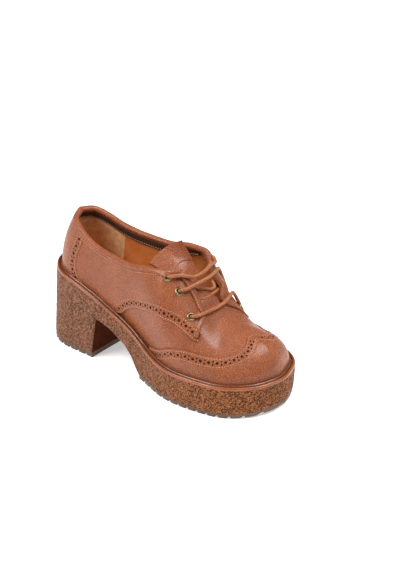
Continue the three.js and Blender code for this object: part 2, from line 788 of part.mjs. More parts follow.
// Tongue: sewn to the vamp's edge at the throat root, lying in the throat, with a loose top flap
const FLAP_START = 0.6;
const TONGUE_SINK = 2.8;
const ROOT_GAP = 0.03;
const TONGUE_MARGIN = 0.035;
const FLAP_LATERAL = new THREE.Vector3(-0.74, -0.22, 0.33).multiplyScalar(FLAP_LENGTH);
const FLAP_MEDIAL = new THREE.Vector3(-0.48, 0.00, 0.85).multiplyScalar(FLAP_LENGTH);
const TONGUE_TOP_SHARE = 0.88;
function tonguePoint(a, b, depth) {
  const climb = Math.min(1, a / FLAP_START);
  const station = mix(THROAT_ROOT - ROOT_GAP, RIDGE_START, climb);
  const edge = throatAt(station) + TONGUE_MARGIN;
  const narrow = b > 0 ? mix(edge, TONGUE_TOP_SHARE, climb) : edge;
  const share = mix(1, narrow, Math.abs(b));
  const j = b > 0 ? LOOP - station : station;
  const sink = TONGUE_SINK * smooth(0, 0.5, climb);
  const point = lastPoint(j, share).addScaledVector(lastNormal(j, share), -sink - depth);
  const flap = Math.max(0, (a - FLAP_START) / (1 - FLAP_START));
  const way = FLAP_LATERAL.clone().lerp(FLAP_MEDIAL, (b + 1) / 2);
  return point.addScaledVector(way, flap);
}

function tongue() {
  const columns = 15;
  const rows = 8;
  const outer = [];
  const inner = [];
  const faces = [];
  for (let a = 0; a <= columns; a += 1) {
    for (let b = 0; b <= rows; b += 1) {
      outer.push(tonguePoint(a / columns, 2 * b / rows - 1, 0));
      inner.push(tonguePoint(a / columns, 2 * b / rows - 1, TONGUE));
    }
  }
  for (let a = 0; a < columns; a += 1) {
    for (let b = 0; b < rows; b += 1) {
      const k = a * (rows + 1) + b;
      faces.push([k, k + 1, k + rows + 2, k + rows + 1]);
    }
  }
  return thicken(outer, inner, faces);
}

// Eyelet: a brass flange on the facing with its barrel through quarter and lining
function eyelet(place) {
  const bore = EYELET_BORE / 2;
  const barrel = bore + EYELET_WALL;
  const flange = EYELET_FLANGE / 2;
  const profile = [
    [bore, -FACING_DEPTH],
    [barrel, -FACING_DEPTH],
    [barrel, SEAM],
    [flange, SEAM],
    [flange, SEAM + EYELET_WALL],
    [mix(bore, flange, 0.5), SEAM + 2 * EYELET_WALL],
    [bore, SEAM + EYELET_WALL],
    [bore, -FACING_DEPTH],
  ].map(([radius, height]) => new THREE.Vector2(radius, height));
  return placed(new THREE.LatheGeometry(profile, HOLE_SIDES), place, QUARTER_OUTER + EYELET_SEAT);
}

// Lace bars across the throat: place on the last and height over it, in cords over the facing
const CORD_CLEAR = EYELET_SEAT + SEAM + 2 * EYELET_WALL + 2 * SEAM + CORD / 2;
const LACE_ROUTES = [
  [
    { side: -1, station: 7.22, share: 0.84, cords: 0.0 },
    { side: -1, station: 7.60, share: 0.80, cords: 0.2 },
    { side: -1, station: 7.98, share: 0.77, cords: 0.2 },
    { side: -1, station: 8.34, share: 0.87, cords: 0.2 },
    { side: 1, station: 8.38, share: 0.95, cords: 0.2 },
    { side: 1, station: 8.16, share: 0.80, cords: 0.3 },
    { side: 1, station: 7.80, share: 0.70, cords: 0.4 },
    { side: 1, station: 7.48, share: 0.70, cords: 0.3 },
    { side: 1, station: 7.22, share: 0.80, cords: 0.0 },
  ],
  [
    { side: -1, station: 8.02, share: 0.655, cords: 0.0 },
    { side: -1, station: 8.28, share: 0.72, cords: 0.3 },
    { side: -1, station: 8.54, share: 0.86, cords: 0.3 },
    { side: 1, station: 8.58, share: 0.94, cords: 0.3 },
    { side: 1, station: 8.38, share: 0.80, cords: 0.3 },
    { side: 1, station: 8.12, share: 0.68, cords: 0.4 },
    { side: 1, station: 7.96, share: 0.60, cords: 0.3 },
    { side: 1, station: 8.02, share: 0.505, cords: 0.0 },
  ],
  [
    { side: -1, station: 8.62, share: 0.56, cords: 0.0 },
    { side: -1, station: 8.90, share: 0.64, cords: 0.3 },
    { side: -1, station: 9.25, share: 0.80, cords: 0.2 },
    { side: 1, station: 9.42, share: 0.97, cords: 0.0 },
    { side: 1, station: 9.28, share: 0.80, cords: 0.0 },
    { side: 1, station: 9.00, share: 0.66, cords: 0.3 },
    { side: 1, station: 8.72, share: 0.55, cords: 0.4 },
    { side: 1, station: 8.62, share: 0.422, cords: 0.0 },
  ],
];
function laceBar(route) {
  const path = new THREE.CatmullRomCurve3(route.map((row) => {
    const j = row.side < 0 ? row.station : LOOP - row.station;
    return skin(j, row.share, QUARTER_OUTER + CORD_CLEAR + row.cords * CORD);
  }));
  const section = new THREE.Shape();
  const sides = 8;
  for (let k = 0; k < sides; k += 1) {
    const angle = 2 * Math.PI * k / sides;
    const corner = [CORD / 2 * Math.cos(angle), CORD / 2 * Math.sin(angle)];
    if (k === 0) {
      section.moveTo(...corner);
    } else {
      section.lineTo(...corner);
    }
  }
  return new THREE.ExtrudeGeometry(section, { steps: 16, extrudePath: path, bevelEnabled: false });
}

// Names of the pieces and their finish
const leather = { color: 0x8b4f33, roughness: 0.5, metalness: 0 };
const rubber = { color: 0x5b4439, roughness: 0.6, metalness: 0 };
const pieces = new THREE.Group();
function add(name, geometry, finish) {
  const mesh = new THREE.Mesh(geometry, new THREE.MeshStandardMaterial(finish));
  mesh.name = name;
  pieces.add(mesh);
}
add('sole_unit', soleUnit(), { color: 0x6f4632, roughness: 0.7, metalness: 0 });
add('outsole', treadPlate(TREAD_START * LENGTH, LENGTH), rubber);
add('heel_top_piece', treadPlate(-HEEL_BACK_FLARE, BREAST_FOOT * LENGTH), rubber);
add('welt', welt(), { color: 0xa35a2c, roughness: 0.35, metalness: 0 });
add('insole', insole(), { color: 0xb0703f, roughness: 0.7, metalness: 0 });
add('upper', upper(), leather);
add('wing_cap', wingCap(), leather);
add('counter', counter(), leather);
add('quarter_lateral', quarter(-1), leather);
add('quarter_medial', quarter(1), leather);
add('collar_binding', collarBinding(), leather);
add('tongue', tongue(), leather);
eyeletPlaces.forEach((place) => {
  add(place.name, eyelet(place), { color: 0x8c6f3f, roughness: 0.35, metalness: 1 });
});
LACE_ROUTES.forEach((route, k) => {
  add(`lace_bar_${k + 1}`, laceBar(route), { color: 0x8f5535, roughness: 0.7, metalness: 0 });
});

// The middle of the whole shoe stands over the origin, its tread on z = 0
const middle = new THREE.Box3().setFromObject(pieces).getCenter(new THREE.Vector3());
pieces.position.set(-middle.x, -middle.y, 0);
const group = new THREE.Group();
group.add(pieces);
export default group;
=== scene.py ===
import math

import bmesh
import bpy
import numpy as np
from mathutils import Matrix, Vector, kdtree, noise


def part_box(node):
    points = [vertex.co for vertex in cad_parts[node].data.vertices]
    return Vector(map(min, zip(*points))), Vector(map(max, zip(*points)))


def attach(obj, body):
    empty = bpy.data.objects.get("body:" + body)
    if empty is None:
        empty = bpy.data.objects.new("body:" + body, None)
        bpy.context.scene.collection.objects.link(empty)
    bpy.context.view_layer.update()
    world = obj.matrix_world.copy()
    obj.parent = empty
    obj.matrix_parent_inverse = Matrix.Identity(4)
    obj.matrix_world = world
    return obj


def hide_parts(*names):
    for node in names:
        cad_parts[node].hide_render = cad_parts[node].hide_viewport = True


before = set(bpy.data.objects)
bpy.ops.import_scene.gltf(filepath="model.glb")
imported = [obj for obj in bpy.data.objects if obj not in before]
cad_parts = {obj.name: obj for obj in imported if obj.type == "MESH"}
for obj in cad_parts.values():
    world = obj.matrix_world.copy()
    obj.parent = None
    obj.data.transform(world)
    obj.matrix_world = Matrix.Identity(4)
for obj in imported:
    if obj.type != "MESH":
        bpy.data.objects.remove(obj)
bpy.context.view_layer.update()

MM = 0.001

# Driving sizes of the shoe, as the solids have them
LENGTH = 248.0
BALL_WIDTH = 98.0
HEEL_SEAT = 71.5
PLATFORM = 28.5
INSTEP = 80.0
TREAD = 4.5
LUG_DEPTH = 2.4
LUG_PITCH = 9.0
GROOVE = 3.2
TOE_SPRING = 2.5
HEEL_BACK_FLARE = 4.0
HEEL_SIDE_FLARE = 1.5
PLATFORM_TUCK = 2.0
WELT_WIDTH = 6.0
WALL = 2.2
INSOLE = 3.0
SEAM = 0.3
BINDING_WIDTH = 5.6
BINDING_HEIGHT = 5.2
FACING_FLARE = 5.2
FLAP_LENGTH = 23.0
EYELET_BORE = 3.6
CORD = 3.1
UPPER_INSET = WELT_WIDTH + 2 * SEAM

# Sizes that only the looks have
OVERLAY = 1.5
COUNTER_RISE = 2.1
EDGE_ROUND = 0.8
STITCH_LENGTH = 1.6
STITCH_GAP = 0.8
STITCH_WIDTH = 0.66

# The last, a row for each station from the heel back to the toe tip. Lengths are shares.
LAST_COLUMNS = "along lateral medial top_along top_across rise lean turn sweep low high".split()
LAST_ROWS = np.array([
    [0.015, 0.000, 0.000, 0.098, 0.000, 0.644, 2, 58, -90, 0.33, 0.33],
    [0.038, 0.178, 0.176, 0.119, 0.122, 0.620, 2, 62, -62, 0.33, 0.33],
    [0.104, 0.316, 0.300, 0.166, 0.186, 0.568, 4, 74, -30, 0.33, 0.33],
    [0.202, 0.345, 0.322, 0.228, 0.222, 0.554, 6, 78, -10, 0.33, 0.33],
    [0.309, 0.350, 0.328, 0.310, 0.248, 0.628, 8, 80, 0, 0.33, 0.33],
    [0.416, 0.360, 0.342, 0.408, 0.270, 0.753, 8, 76, 0, 0.36, 0.33],
    [0.512, 0.418, 0.372, 0.496, 0.280, 0.921, 6, 64, 0, 0.38, 0.33],
    [0.609, 0.505, 0.418, 0.570, 0.200, 1.012, 4, 34, 0, 0.40, 0.30],
    [0.705, 0.530, 0.460, 0.597, 0.000, 0.956, 4, 0, 0, 0.40, 0.25],
    [0.797, 0.505, 0.482, 0.670, 0.000, 0.678, 4, 6, 8, 0.36, 0.29],
    [0.883, 0.439, 0.455, 0.746, 0.000, 0.476, 4, 11, 20, 0.34, 0.34],
    [0.954, 0.286, 0.345, 0.810, 0.000, 0.414, 4, 11, 45, 0.40, 0.43],
    [0.985, 0.143, 0.205, 0.855, 0.000, 0.390, 4, 9, 68, 0.43, 0.42],
    [1.000, -0.031, 0.031, 0.883, 0.000, 0.374, 4, 9, 90, 0.46, 0.40],
])
LAST = dict(zip(LAST_COLUMNS, LAST_ROWS.T))

# Top of the sole: places along the shoe, and the lift as a share of the heel's rise
DECK_ALONG = [0.000, 0.045, 0.106, 0.248, 0.390, 0.543, 0.695, 1.000]
DECK_LIFT = [1.000, 0.988, 0.956, 0.747, 0.421, 0.095, 0.000, 0.000]

# Underside of the waist, from the top of the heel breast to the tread
WAIST_ALONG = [0.280, 0.306, 0.343, 0.367, 0.391, 0.419, 0.446, 0.463]
WAIST_UNDER = [0.573, 0.554, 0.515, 0.471, 0.420, 0.361, 0.259, 0.159]
BREAST_FOOT = 0.258
TREAD_START = 0.486
SPRING_START = 0.87

# Edges drawn on the last: a station of the table above, and a share from feather to top
CAP_STATION = [6.25, 6.75, 7.40, 8.00, 8.60, 9.05, 9.70, 10.15, 10.58, 10.90, 11.28, 11.48, 11.60]
CAP_SHARE = [0.060, 0.115, 0.180, 0.205, 0.250, 0.290, 0.358, 0.421, 0.503, 0.591, 0.742, 0.870, 1.0]
QUARTER_LOW_STATION = [3.20, 3.80, 4.40, 4.62, 4.90, 5.28, 5.73, 6.30, 6.90, 7.43, 7.93, 8.40, 8.70, 8.88]
QUARTER_LOW = [0.0, 0.0, 0.0, 0.030, 0.215, 0.358, 0.440, 0.480, 0.462, 0.415, 0.380, 0.370, 0.376, 0.392]
QUARTER_TOP_STATION = [2.50, 3.20, 4.00, 4.60, 5.10, 5.55, 6.00, 6.50, 6.95, 7.40, 8.08, 8.75, 9.15, 9.28]
QUARTER_TOP = [1.0, 1.0, 1.0, 1.0, 1.0, 1.0, 1.0, 1.0, 0.950, 0.908, 0.860, 0.844, 0.795, 0.745]
COUNTER_SHARE = [0.000, 0.120, 0.350, 0.700, 1.000]
COUNTER_STATION = [3.15, 2.88, 2.58, 2.45, 2.45]
THROAT_STATION = [6.90, 7.40, 8.00, 8.60, 9.20]
THROAT_SHARE = [0.925, 0.880, 0.830, 0.795, 0.740]
EYELET_STATION = [7.22, 8.02, 8.62]
EYELET_SHARE = [0.840, 0.655, 0.560]
COLLAR_END = 6.9
THROAT_ROOT = 9.2
RIDGE_START = 8
RIDGE_ROUND = 0.2
INNER_SLIM = 0.3
THROAT_SHIFT = 0.18
EYELET_SHIFT = 0.15
QUARTER_SHIFT = 0.07
ROWS = len(LAST_ROWS) - 1
LOOP = 2 * ROWS


def mix(a, b, t):
    return a + (b - a) * t


def smooth(low, high, value):
    t = np.clip((value - low) / (high - low), 0, 1)
    return t * t * (3 - 2 * t)


def unit(vectors):
    return vectors / np.linalg.norm(vectors, axis=-1, keepdims=True)


def cubic(start, end, slope_start, slope_end, t):
    rise = end - start
    bend = slope_start + slope_end - 2 * rise
    return start + t * (slope_start + t * (3 * rise - 2 * slope_start - slope_end + t * bend))


def monotone(xs, ys):
    """A curve through table values that never overshoots them."""
    xs, ys = np.array(xs, float), np.array(ys, float)
    steps = np.diff(xs)
    rates = np.diff(ys) / steps
    slopes = np.zeros(len(xs))
    for k in range(1, len(xs) - 1):
        if rates[k - 1] * rates[k] > 0:
            before = 2 * steps[k] + steps[k - 1]
            after = steps[k] + 2 * steps[k - 1]
            slopes[k] = (before + after) / (before / rates[k - 1] + after / rates[k])
    slopes[0], slopes[-1] = rates[0], rates[-1]

    def curve(x):
        at = np.clip(x, xs[0], xs[-1])
        k = np.clip(np.searchsorted(xs, at, side="right") - 1, 0, len(steps) - 1)
        t = (at - xs[k]) / steps[k]
        return cubic(ys[k], ys[k + 1], slopes[k] * steps[k], slopes[k + 1] * steps[k], t)

    return curve


def closed_curve(values):
    """Value and slope of a closed smooth curve through a loop of values at whole numbers."""
    values = np.array(values, float)
    count = len(values)
    slopes = np.zeros(count)
    for _ in range(60):
        for k in range(count):
            pull = 3 * (values[(k + 1) % count] - values[k - 1])
            slopes[k] = (pull - slopes[k - 1] - slopes[(k + 1) % count]) / 4

    def value(j):
        at = np.mod(j, count)
        t = at - np.floor(at)
        k = np.floor(at).astype(int) % count
        after = (k + 1) % count
        return cubic(values[k], values[after], slopes[k], slopes[after], t)

    def slope(j):
        step = 1e-4
        return (value(np.asarray(j) + step) - value(np.asarray(j) - step)) / (2 * step)

    return value, slope


lateral_rim = np.stack([LAST["along"] * LENGTH, -LAST["lateral"] * BALL_WIDTH], 1)
medial_rim = np.stack([LAST["along"] * LENGTH, LAST["medial"] * BALL_WIDTH], 1)[1:ROWS][::-1]
rim_x, rim_x_slope = closed_curve(np.concatenate([lateral_rim, medial_rim])[:, 0])
rim_y, rim_y_slope = closed_curve(np.concatenate([lateral_rim, medial_rim])[:, 1])


def inward(j):
    return unit(np.stack([-rim_y_slope(j), rim_x_slope(j)], -1))


def outline(j, inset):
    j = np.asarray(j, float)
    return np.stack([rim_x(j), rim_y(j)], -1) + inward(j) * np.asarray(inset, float)[..., None]


lift_at = monotone(DECK_ALONG, DECK_LIFT)


def deck(x):
    return mix(PLATFORM, HEEL_SEAT, lift_at(x / LENGTH))


def spring(x):
    return TOE_SPRING * np.clip((x / LENGTH - SPRING_START) / (1 - SPRING_START), 0, 1) ** 2


def station_of(j):
    at = np.mod(j, LOOP)
    return np.where(at <= ROWS, at, LOOP - at)


def side_of(j):
    return np.where(np.mod(j, LOOP) <= ROWS, -1.0, 1.0)


column = {name: monotone(np.arange(ROWS + 1), values) for name, values in LAST.items()}
top_height = monotone(np.arange(ROWS + 1), deck(LAST["along"] * LENGTH) + LAST["rise"] * INSTEP)


def side_point(j, share):
    """Cubic from the feather to the top line at a place of the loop."""
    station, side = station_of(j), side_of(j)
    foot = outline(j, UPPER_INSET)
    foot = np.stack([foot[..., 0], foot[..., 1], deck(foot[..., 0]) + 2 * SEAM], -1)
    top = np.stack([column["top_along"](station) * LENGTH,
                    side * column["top_across"](station) * BALL_WIDTH, top_height(station)], -1)
    reach = np.linalg.norm(top - foot, axis=-1)
    lean, turn, sweep = (np.radians(column[name](station)) for name in ("lean", "turn", "sweep"))
    slim = 1 - INNER_SLIM * (side > 0) * smooth(7.2, 8.4, station) * (1 - smooth(9.3, 10.6, station))
    way = inward(j)
    rising = np.stack([-way[..., 0] * np.sin(lean), -way[..., 1] * np.sin(lean), np.cos(lean)], -1)
    arriving = np.stack([-np.sin(sweep) * np.cos(turn), -side * np.cos(sweep) * np.cos(turn),
                         np.sin(turn)], -1)
    first = foot + rising * (column["low"](station) * slim * reach)[..., None]
    second = top - arriving * (column["high"](station) * slim * reach)[..., None]
    t = share[..., None]
    return (foot * (1 - t) ** 3 + 3 * first * t * (1 - t) ** 2
            + 3 * second * t * t * (1 - t) + top * t ** 3)


def rounding(station):
    """How much of the way up is rounded over at the ridge, as a share."""
    return RIDGE_ROUND * smooth(RIDGE_START, THROAT_ROOT, station)


def last_point(j, share):
    """The last's surface. Its ridge is rounded over from one side to the other."""
    j, share = np.broadcast_arrays(np.asarray(j, float), np.asarray(share, float))
    point = side_point(j, share)
    near = (share > 1 - rounding(station_of(j))) & (rounding(station_of(j)) > 1e-6)
    if near.any():
        here, height = j[near], share[near]
        width = rounding(station_of(here))
        start = 1 - width
        step = 1e-3
        ends = []
        for place in (here, LOOP - np.mod(here, LOOP)):
            at = side_point(place, start)
            ends.append((at, (at - side_point(place, start - step)) / step * 2 * width[..., None]))
        t = ((height - start) / (2 * width))[..., None]
        (near_point, near_slope), (far_point, far_slope) = ends
        point[near] = cubic(near_point, far_point, near_slope, -far_slope, t)
    return point


def last_normal(j, share):
    j, share = np.broadcast_arrays(np.asarray(j, float), np.asarray(share, float))
    step = 1e-3
    low = np.maximum(share - step, 0)
    tip = station_of(j) > ROWS - step
    high = np.minimum(share + step, 1 + np.where(tip, 0, np.minimum(step, rounding(station_of(j)))))
    beside = np.where(tip, low, share)
    along = last_point(j + step, beside) - last_point(j - step, beside)
    upward = last_point(j, high) - last_point(j, low)
    return unit(np.cross(along, upward))


throat_at = monotone(THROAT_STATION, THROAT_SHARE)


def inner_shift(j):
    """The open throat lies to the inner side: how far down its edge is there, as a share of the most."""
    station = station_of(j)
    shift = smooth(COLLAR_END, 7.8, station) * (1 - smooth(8.5, THROAT_ROOT, station))
    return np.where(side_of(j) > 0, shift, 0.0)


def facing_lift(j, share):
    """The open facings stand off the last towards their front edge, most on the inner side."""
    station = station_of(j)
    inner = side_of(j) > 0
    along = smooth(COLLAR_END - 1, 8.2, station) * (1 - smooth(8.4, THROAT_ROOT, station))
    rise = np.where(inner, smooth(0.3, mix(1, 0.8, inner_shift(j)), share), smooth(0.3, 1, share) / 4)
    return FACING_FLARE * along * rise


def skin(j, share, offset=0.0):
    lift = facing_lift(np.asarray(j, float), np.asarray(share, float)) + offset
    return last_point(j, share) + last_normal(j, share) * np.asarray(lift)[..., None]


def skin_normal(j, share):
    step = 0.004
    j, share = np.asarray(j, float), np.asarray(share, float)
    along = skin(j + step, share) - skin(j - step, share)
    upward = skin(j, share + step) - skin(j, share - step)
    return unit(np.cross(along, upward))


# The frame's origin is the middle of the whole shoe, so the last is shifted to it
RIM_STEPS = 80
cad_rim = outline(np.arange(RIM_STEPS) * LOOP / RIM_STEPS, 0.0)
sole_low, sole_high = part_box("sole_unit")
SHIFT = np.array([cad_rim[:, 0].max() - sole_high.x / MM, cad_rim[:, 1].max() - sole_high.y / MM, 0.0])


def add_object(name, data):
    thing = bpy.data.objects.new(name, data)
    bpy.context.scene.collection.objects.link(thing)
    return thing


def piece(name, points, faces, materials, replaced=(), marks=None, sharp=50):
    """A mesh from points in millimetres, riding on the shoe's one body."""
    mesh = bpy.data.meshes.new(name)
    place = (np.asarray(points, float) - SHIFT) * MM
    mesh.from_pydata(place.tolist(), [], [list(map(int, face)) for face in faces])
    mesh.validate()
    thing = add_object(name, mesh)
    for entry in materials:
        mesh.materials.append(entry)
    if marks is not None:
        mesh.polygons.foreach_set("material_index", np.asarray(marks, np.int32))
    finish_mesh(thing, sharp)
    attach(thing, "root")
    if replaced:
        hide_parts(*replaced)
    return thing


def finish_mesh(thing, sharp):
    """Welds, points the faces outward and shades smooth, with sharp edges past an angle."""
    work = bmesh.new()
    work.from_mesh(thing.data)
    bmesh.ops.remove_doubles(work, verts=work.verts, dist=0.004 * MM)
    bmesh.ops.dissolve_degenerate(work, edges=work.edges, dist=0.002 * MM)
    bmesh.ops.recalc_face_normals(work, faces=work.faces)
    work.to_mesh(thing.data)
    work.free()
    thing.data.shade_smooth()
    thing.data.set_sharp_from_angle(angle=math.radians(sharp))


def grid_faces(rows, columns, start=0, ring=False):
    """Quads over points laid out row by row. A ring joins the last row to the first."""
    row, col = np.meshgrid(np.arange(rows if ring else rows - 1), np.arange(columns - 1), indexing="ij")
    after = (row + 1) % rows
    quads = [row * columns + col, after * columns + col, after * columns + col + 1, row * columns + col + 1]
    return np.stack(quads, -1).reshape(-1, 4) + start


def slab_faces(rows, columns):
    """Two like grids of points, the second under the first, closed along their border."""
    top = grid_faces(rows, columns)
    count = rows * columns
    border = [np.arange(columns), columns - 1 + np.arange(rows) * columns,
              count - 1 - np.arange(columns), (rows - 1 - np.arange(rows)) * columns]
    loop = np.concatenate([side[:-1] for side in border])
    after = np.roll(loop, -1)
    walls = np.stack([loop, after, after + count, loop + count], -1)
    return np.concatenate([top, top[:, ::-1] + count, walls])


def slab(name, top, bottom, material, replaced=()):
    """A closed piece between two like grids of points."""
    points = np.concatenate([top.reshape(-1, 3), bottom.reshape(-1, 3)])
    return piece(name, points, slab_faces(*top.shape[:2]), [material], replaced)


def hose(name, rings, material, replaced, sharp=50):
    """A closed piece through rings of points, with a flat face on each end."""
    rows, size = rings.shape[:2]
    closed = np.concatenate([rings, rings[:, :1]], 1)
    faces = grid_faces(rows, size + 1).tolist()
    faces.append(list(range(size))[::-1])
    faces.append([(rows - 1) * (size + 1) + k for k in range(size)])
    return piece(name, closed.reshape(-1, 3), faces, [material], replaced, sharp=sharp)


def ripple(points, size, seed=0.0):
    """Smooth noise, about -1 to 1, with features of that size in millimetres."""
    return np.array([noise.noise(Vector(point) / size + Vector((seed, 2 * seed, 3 * seed)))
                     for point in points.reshape(-1, 3)]).reshape(points.shape[:-1])


def distance_to(points, lines):
    """Distance from each point to the nearest point of some densely drawn lines."""
    anchors = np.concatenate(lines)
    tree = kdtree.KDTree(len(anchors))
    for k, anchor in enumerate(anchors):
        tree.insert(anchor, k)
    tree.balance()
    return np.array([tree.find(point)[2] for point in points.reshape(-1, 3)]).reshape(points.shape[:-1])


def lengths_along(line):
    steps = np.linalg.norm(np.diff(line, axis=0), axis=1)
    return np.concatenate([[0], np.cumsum(steps)])


def height_share(rise):
    """Share, round the loop, at which the last is that far above the sole's top."""
    places = np.linspace(0, LOOP, 209)
    shares = np.linspace(0, 0.4, 81)
    point = last_point(places[:, None], shares[None, :])
    above = point[..., 2] - deck(point[..., 0])
    found = [np.interp(rise, row, shares) for row in above]
    return lambda j: np.interp(np.mod(j, LOOP), places, found)


def collar_share(drop):
    """Share, round the collar, at a distance below its top line."""
    places = np.linspace(-8, 8, 161)
    shares = np.linspace(1, 0.6, 161)
    point = last_point(places[:, None], shares[None, :])
    below = np.linalg.norm(point - point[:, :1], axis=-1)
    found = [np.interp(drop, row, shares) for row in below]
    return lambda j: np.interp(np.mod(np.asarray(j, float) + ROWS, LOOP) - ROWS, places, found)


# Camera, at the photograph's angle to the shoe
VIEW_AZIMUTH = math.radians(39.07)
VIEW_ELEVATION = math.radians(28.33)
VIEW_DISTANCE = 1705.0
VIEW_TARGET = np.array([123.07, 44.42, 60.0])
LONG_SIDE_PIXELS = 570
FOCAL_PIXELS = 1922.76


def make_camera():
    lens = bpy.data.cameras.new("camera")
    lens.sensor_width = 36
    lens.lens = FOCAL_PIXELS / LONG_SIDE_PIXELS * lens.sensor_width
    camera = add_object("camera", lens)
    back = Vector((math.sin(VIEW_AZIMUTH) * math.cos(VIEW_ELEVATION),
                   -math.cos(VIEW_AZIMUTH) * math.cos(VIEW_ELEVATION), math.sin(VIEW_ELEVATION)))
    camera.location = Vector((VIEW_TARGET - SHIFT) * MM) + back * VIEW_DISTANCE * MM
    camera.rotation_euler = back.to_track_quat("Z", "Y").to_euler()
    bpy.context.scene.camera = camera


# Floor and lights, in metres and watts
LIGHT_TARGET = Vector((0, 0, 0.05))
FLOOR_HALF = 6.0
WORLD_STRENGTH = 0.27
FLOOR_GLOW = 0.45
KEY_POWER = 31
TOP_POWER = 30


def area_light(name, place, size, power):
    data = bpy.data.lights.new(name, "AREA")
    data.shape = "RECTANGLE"
    data.size, data.size_y = size
    data.energy = power
    lamp = add_object(name, data)
    lamp.location = place
    lamp.rotation_euler = (LIGHT_TARGET - Vector(place)).to_track_quat("-Z", "Y").to_euler()


def make_stage():
    world = bpy.data.worlds.new("studio")
    bpy.context.scene.world = world
    world.use_nodes = True
    background = world.node_tree.nodes["Background"]
    background.inputs["Color"].default_value = (1, 1, 1, 1)
    background.inputs["Strength"].default_value = WORLD_STRENGTH
    mesh = bpy.data.meshes.new("floor")
    corners = [(x * FLOOR_HALF, y * FLOOR_HALF, 0) for x, y in ((-1, -1), (1, -1), (1, 1), (-1, 1))]
    mesh.from_pydata(corners, [], [(0, 1, 2, 3)])
    floor = add_object("floor", mesh)
    paper = bpy.data.materials.new("floor_paper")
    paper.use_nodes = True
    shader = paper.node_tree.nodes["Principled BSDF"]
    shader.inputs["Base Color"].default_value = (0.9, 0.9, 0.9, 1)
    shader.inputs["Roughness"].default_value = 0.9
    shader.inputs["Emission Color"].default_value = (1, 1, 1, 1)
    shader.inputs["Emission Strength"].default_value = FLOOR_GLOW
    mesh.materials.append(paper)
    area_light("key", (-0.6, -1.0, 1.5), (0.9, 0.9), KEY_POWER)
    area_light("top", (0.6, 0.5, 1.6), (0.9, 0.7), TOP_POWER)


# Materials, all worked out from noise in the shoe's own coordinates
class Recipe:
    """A principled material with small helpers for noise, mixing and bump."""

    def __init__(self, name, roughness, coat=0.0, coat_roughness=0.2, metallic=0.0, specular=0.35):
        self.made = bpy.data.materials.new(name)
        self.made.use_nodes = True
        self.nodes, self.links = self.made.node_tree.nodes, self.made.node_tree.links
        self.shader = self.nodes["Principled BSDF"]
        self.fill(self.shader, {"Roughness": roughness, "Coat Weight": coat, "Metallic": metallic,
                                "Coat Roughness": coat_roughness, "Specular IOR Level": specular})
        self.place = self.nodes.new("ShaderNodeTexCoord").outputs["Object"]

    def fill(self, node, values):
        """Sets inputs of a node to numbers or colours, or links them to other nodes."""
        for key, value in values.items():
            if isinstance(value, bpy.types.NodeSocket):
                self.links.new(value, node.inputs[key])
            else:
                node.inputs[key].default_value = (*value, 1) if isinstance(value, tuple) else value

    def noise(self, size, detail=3.0):
        """Noise with features of that size in millimetres, 0 to 1."""
        node = self.nodes.new("ShaderNodeTexNoise")
        self.fill(node, {"Scale": 1 / (size * MM), "Detail": detail, "Vector": self.place})
        return node.outputs["Fac"]

    def pebble(self, size):
        """Rounded cells of that size: high in the middle of each, low in the creases."""
        node = self.nodes.new("ShaderNodeTexVoronoi")
        node.feature = "DISTANCE_TO_EDGE"
        self.fill(node, {"Scale": 1 / (size * MM), "Vector": self.place})
        return self.ramp(node.outputs["Distance"], 0.0, 0.28)

    def ridge(self, value, width):
        """1 where a noise crosses its middle, down to 0 at that distance from it."""
        apart = self.maths("ABSOLUTE", self.maths("SUBTRACT", value, 0.5))
        return self.ramp(apart, 0.0, width, 1.0, 0.0)

    def along(self):
        """Place along the shoe, in metres from its middle."""
        node = self.nodes.new("ShaderNodeSeparateXYZ")
        self.fill(node, {0: self.place})
        return node.outputs["X"]

    def ramp(self, value, low, high, start=0.0, end=1.0):
        """A value moved from one span to another, and kept within it."""
        node = self.nodes.new("ShaderNodeMapRange")
        self.fill(node, {"Value": value, "From Min": low, "From Max": high, "To Min": start, "To Max": end})
        return node.outputs["Result"]

    def maths(self, operation, *values):
        node = self.nodes.new("ShaderNodeMath")
        node.operation = operation
        self.fill(node, dict(enumerate(values)))
        return node.outputs[0]

    def sum(self, first, second, weight):
        """The first value plus the second times a weight."""
        return self.maths("MULTIPLY_ADD", second, weight, first)

    def blend(self, value, low_colour, high_colour):
        """A colour between two others, or between a colour and another blend."""
        node = self.nodes.new("ShaderNodeMix")
        node.data_type = "RGBA"
        self.fill(node, {"Factor": value, 6: low_colour, 7: high_colour})
        return node.outputs[2]

    def colour(self, source):
        self.fill(self.shader, {"Base Color": source})

    def rough(self, source):
        self.fill(self.shader, {"Roughness": source})

    def bump(self, height, depth):
        """Bump of that depth in millimetres."""
        node = self.nodes.new("ShaderNodeBump")
        self.fill(node, {"Strength": 1, "Distance": depth * MM, "Height": height})
        self.fill(self.shader, {"Normal": node.outputs["Normal"]})


GRAIN_SIZE = 1.7
GRAIN_DEPTH = 0.2
WORM_SIZE = 2.2
CRUMB_SIZE = 0.9
WORM_DEPTH = 0.45


def grained_leather(name, dark, light, crease):
    recipe = Recipe(name, 0.42, 0.28, 0.26, specular=0.25)
    grain = recipe.sum(recipe.pebble(GRAIN_SIZE), recipe.noise(0.6), 0.4)
    cloud = recipe.ramp(recipe.sum(recipe.noise(24.0), recipe.noise(5.0), 0.6), 0.55, 1.05)
    body = recipe.blend(cloud, dark, light)
    recipe.colour(recipe.blend(recipe.ramp(grain, 0.15, 0.8), crease, body))
    recipe.rough(recipe.ramp(grain, 0.2, 1.2, 0.55, 0.36))
    recipe.bump(grain, GRAIN_DEPTH)
    return recipe.made


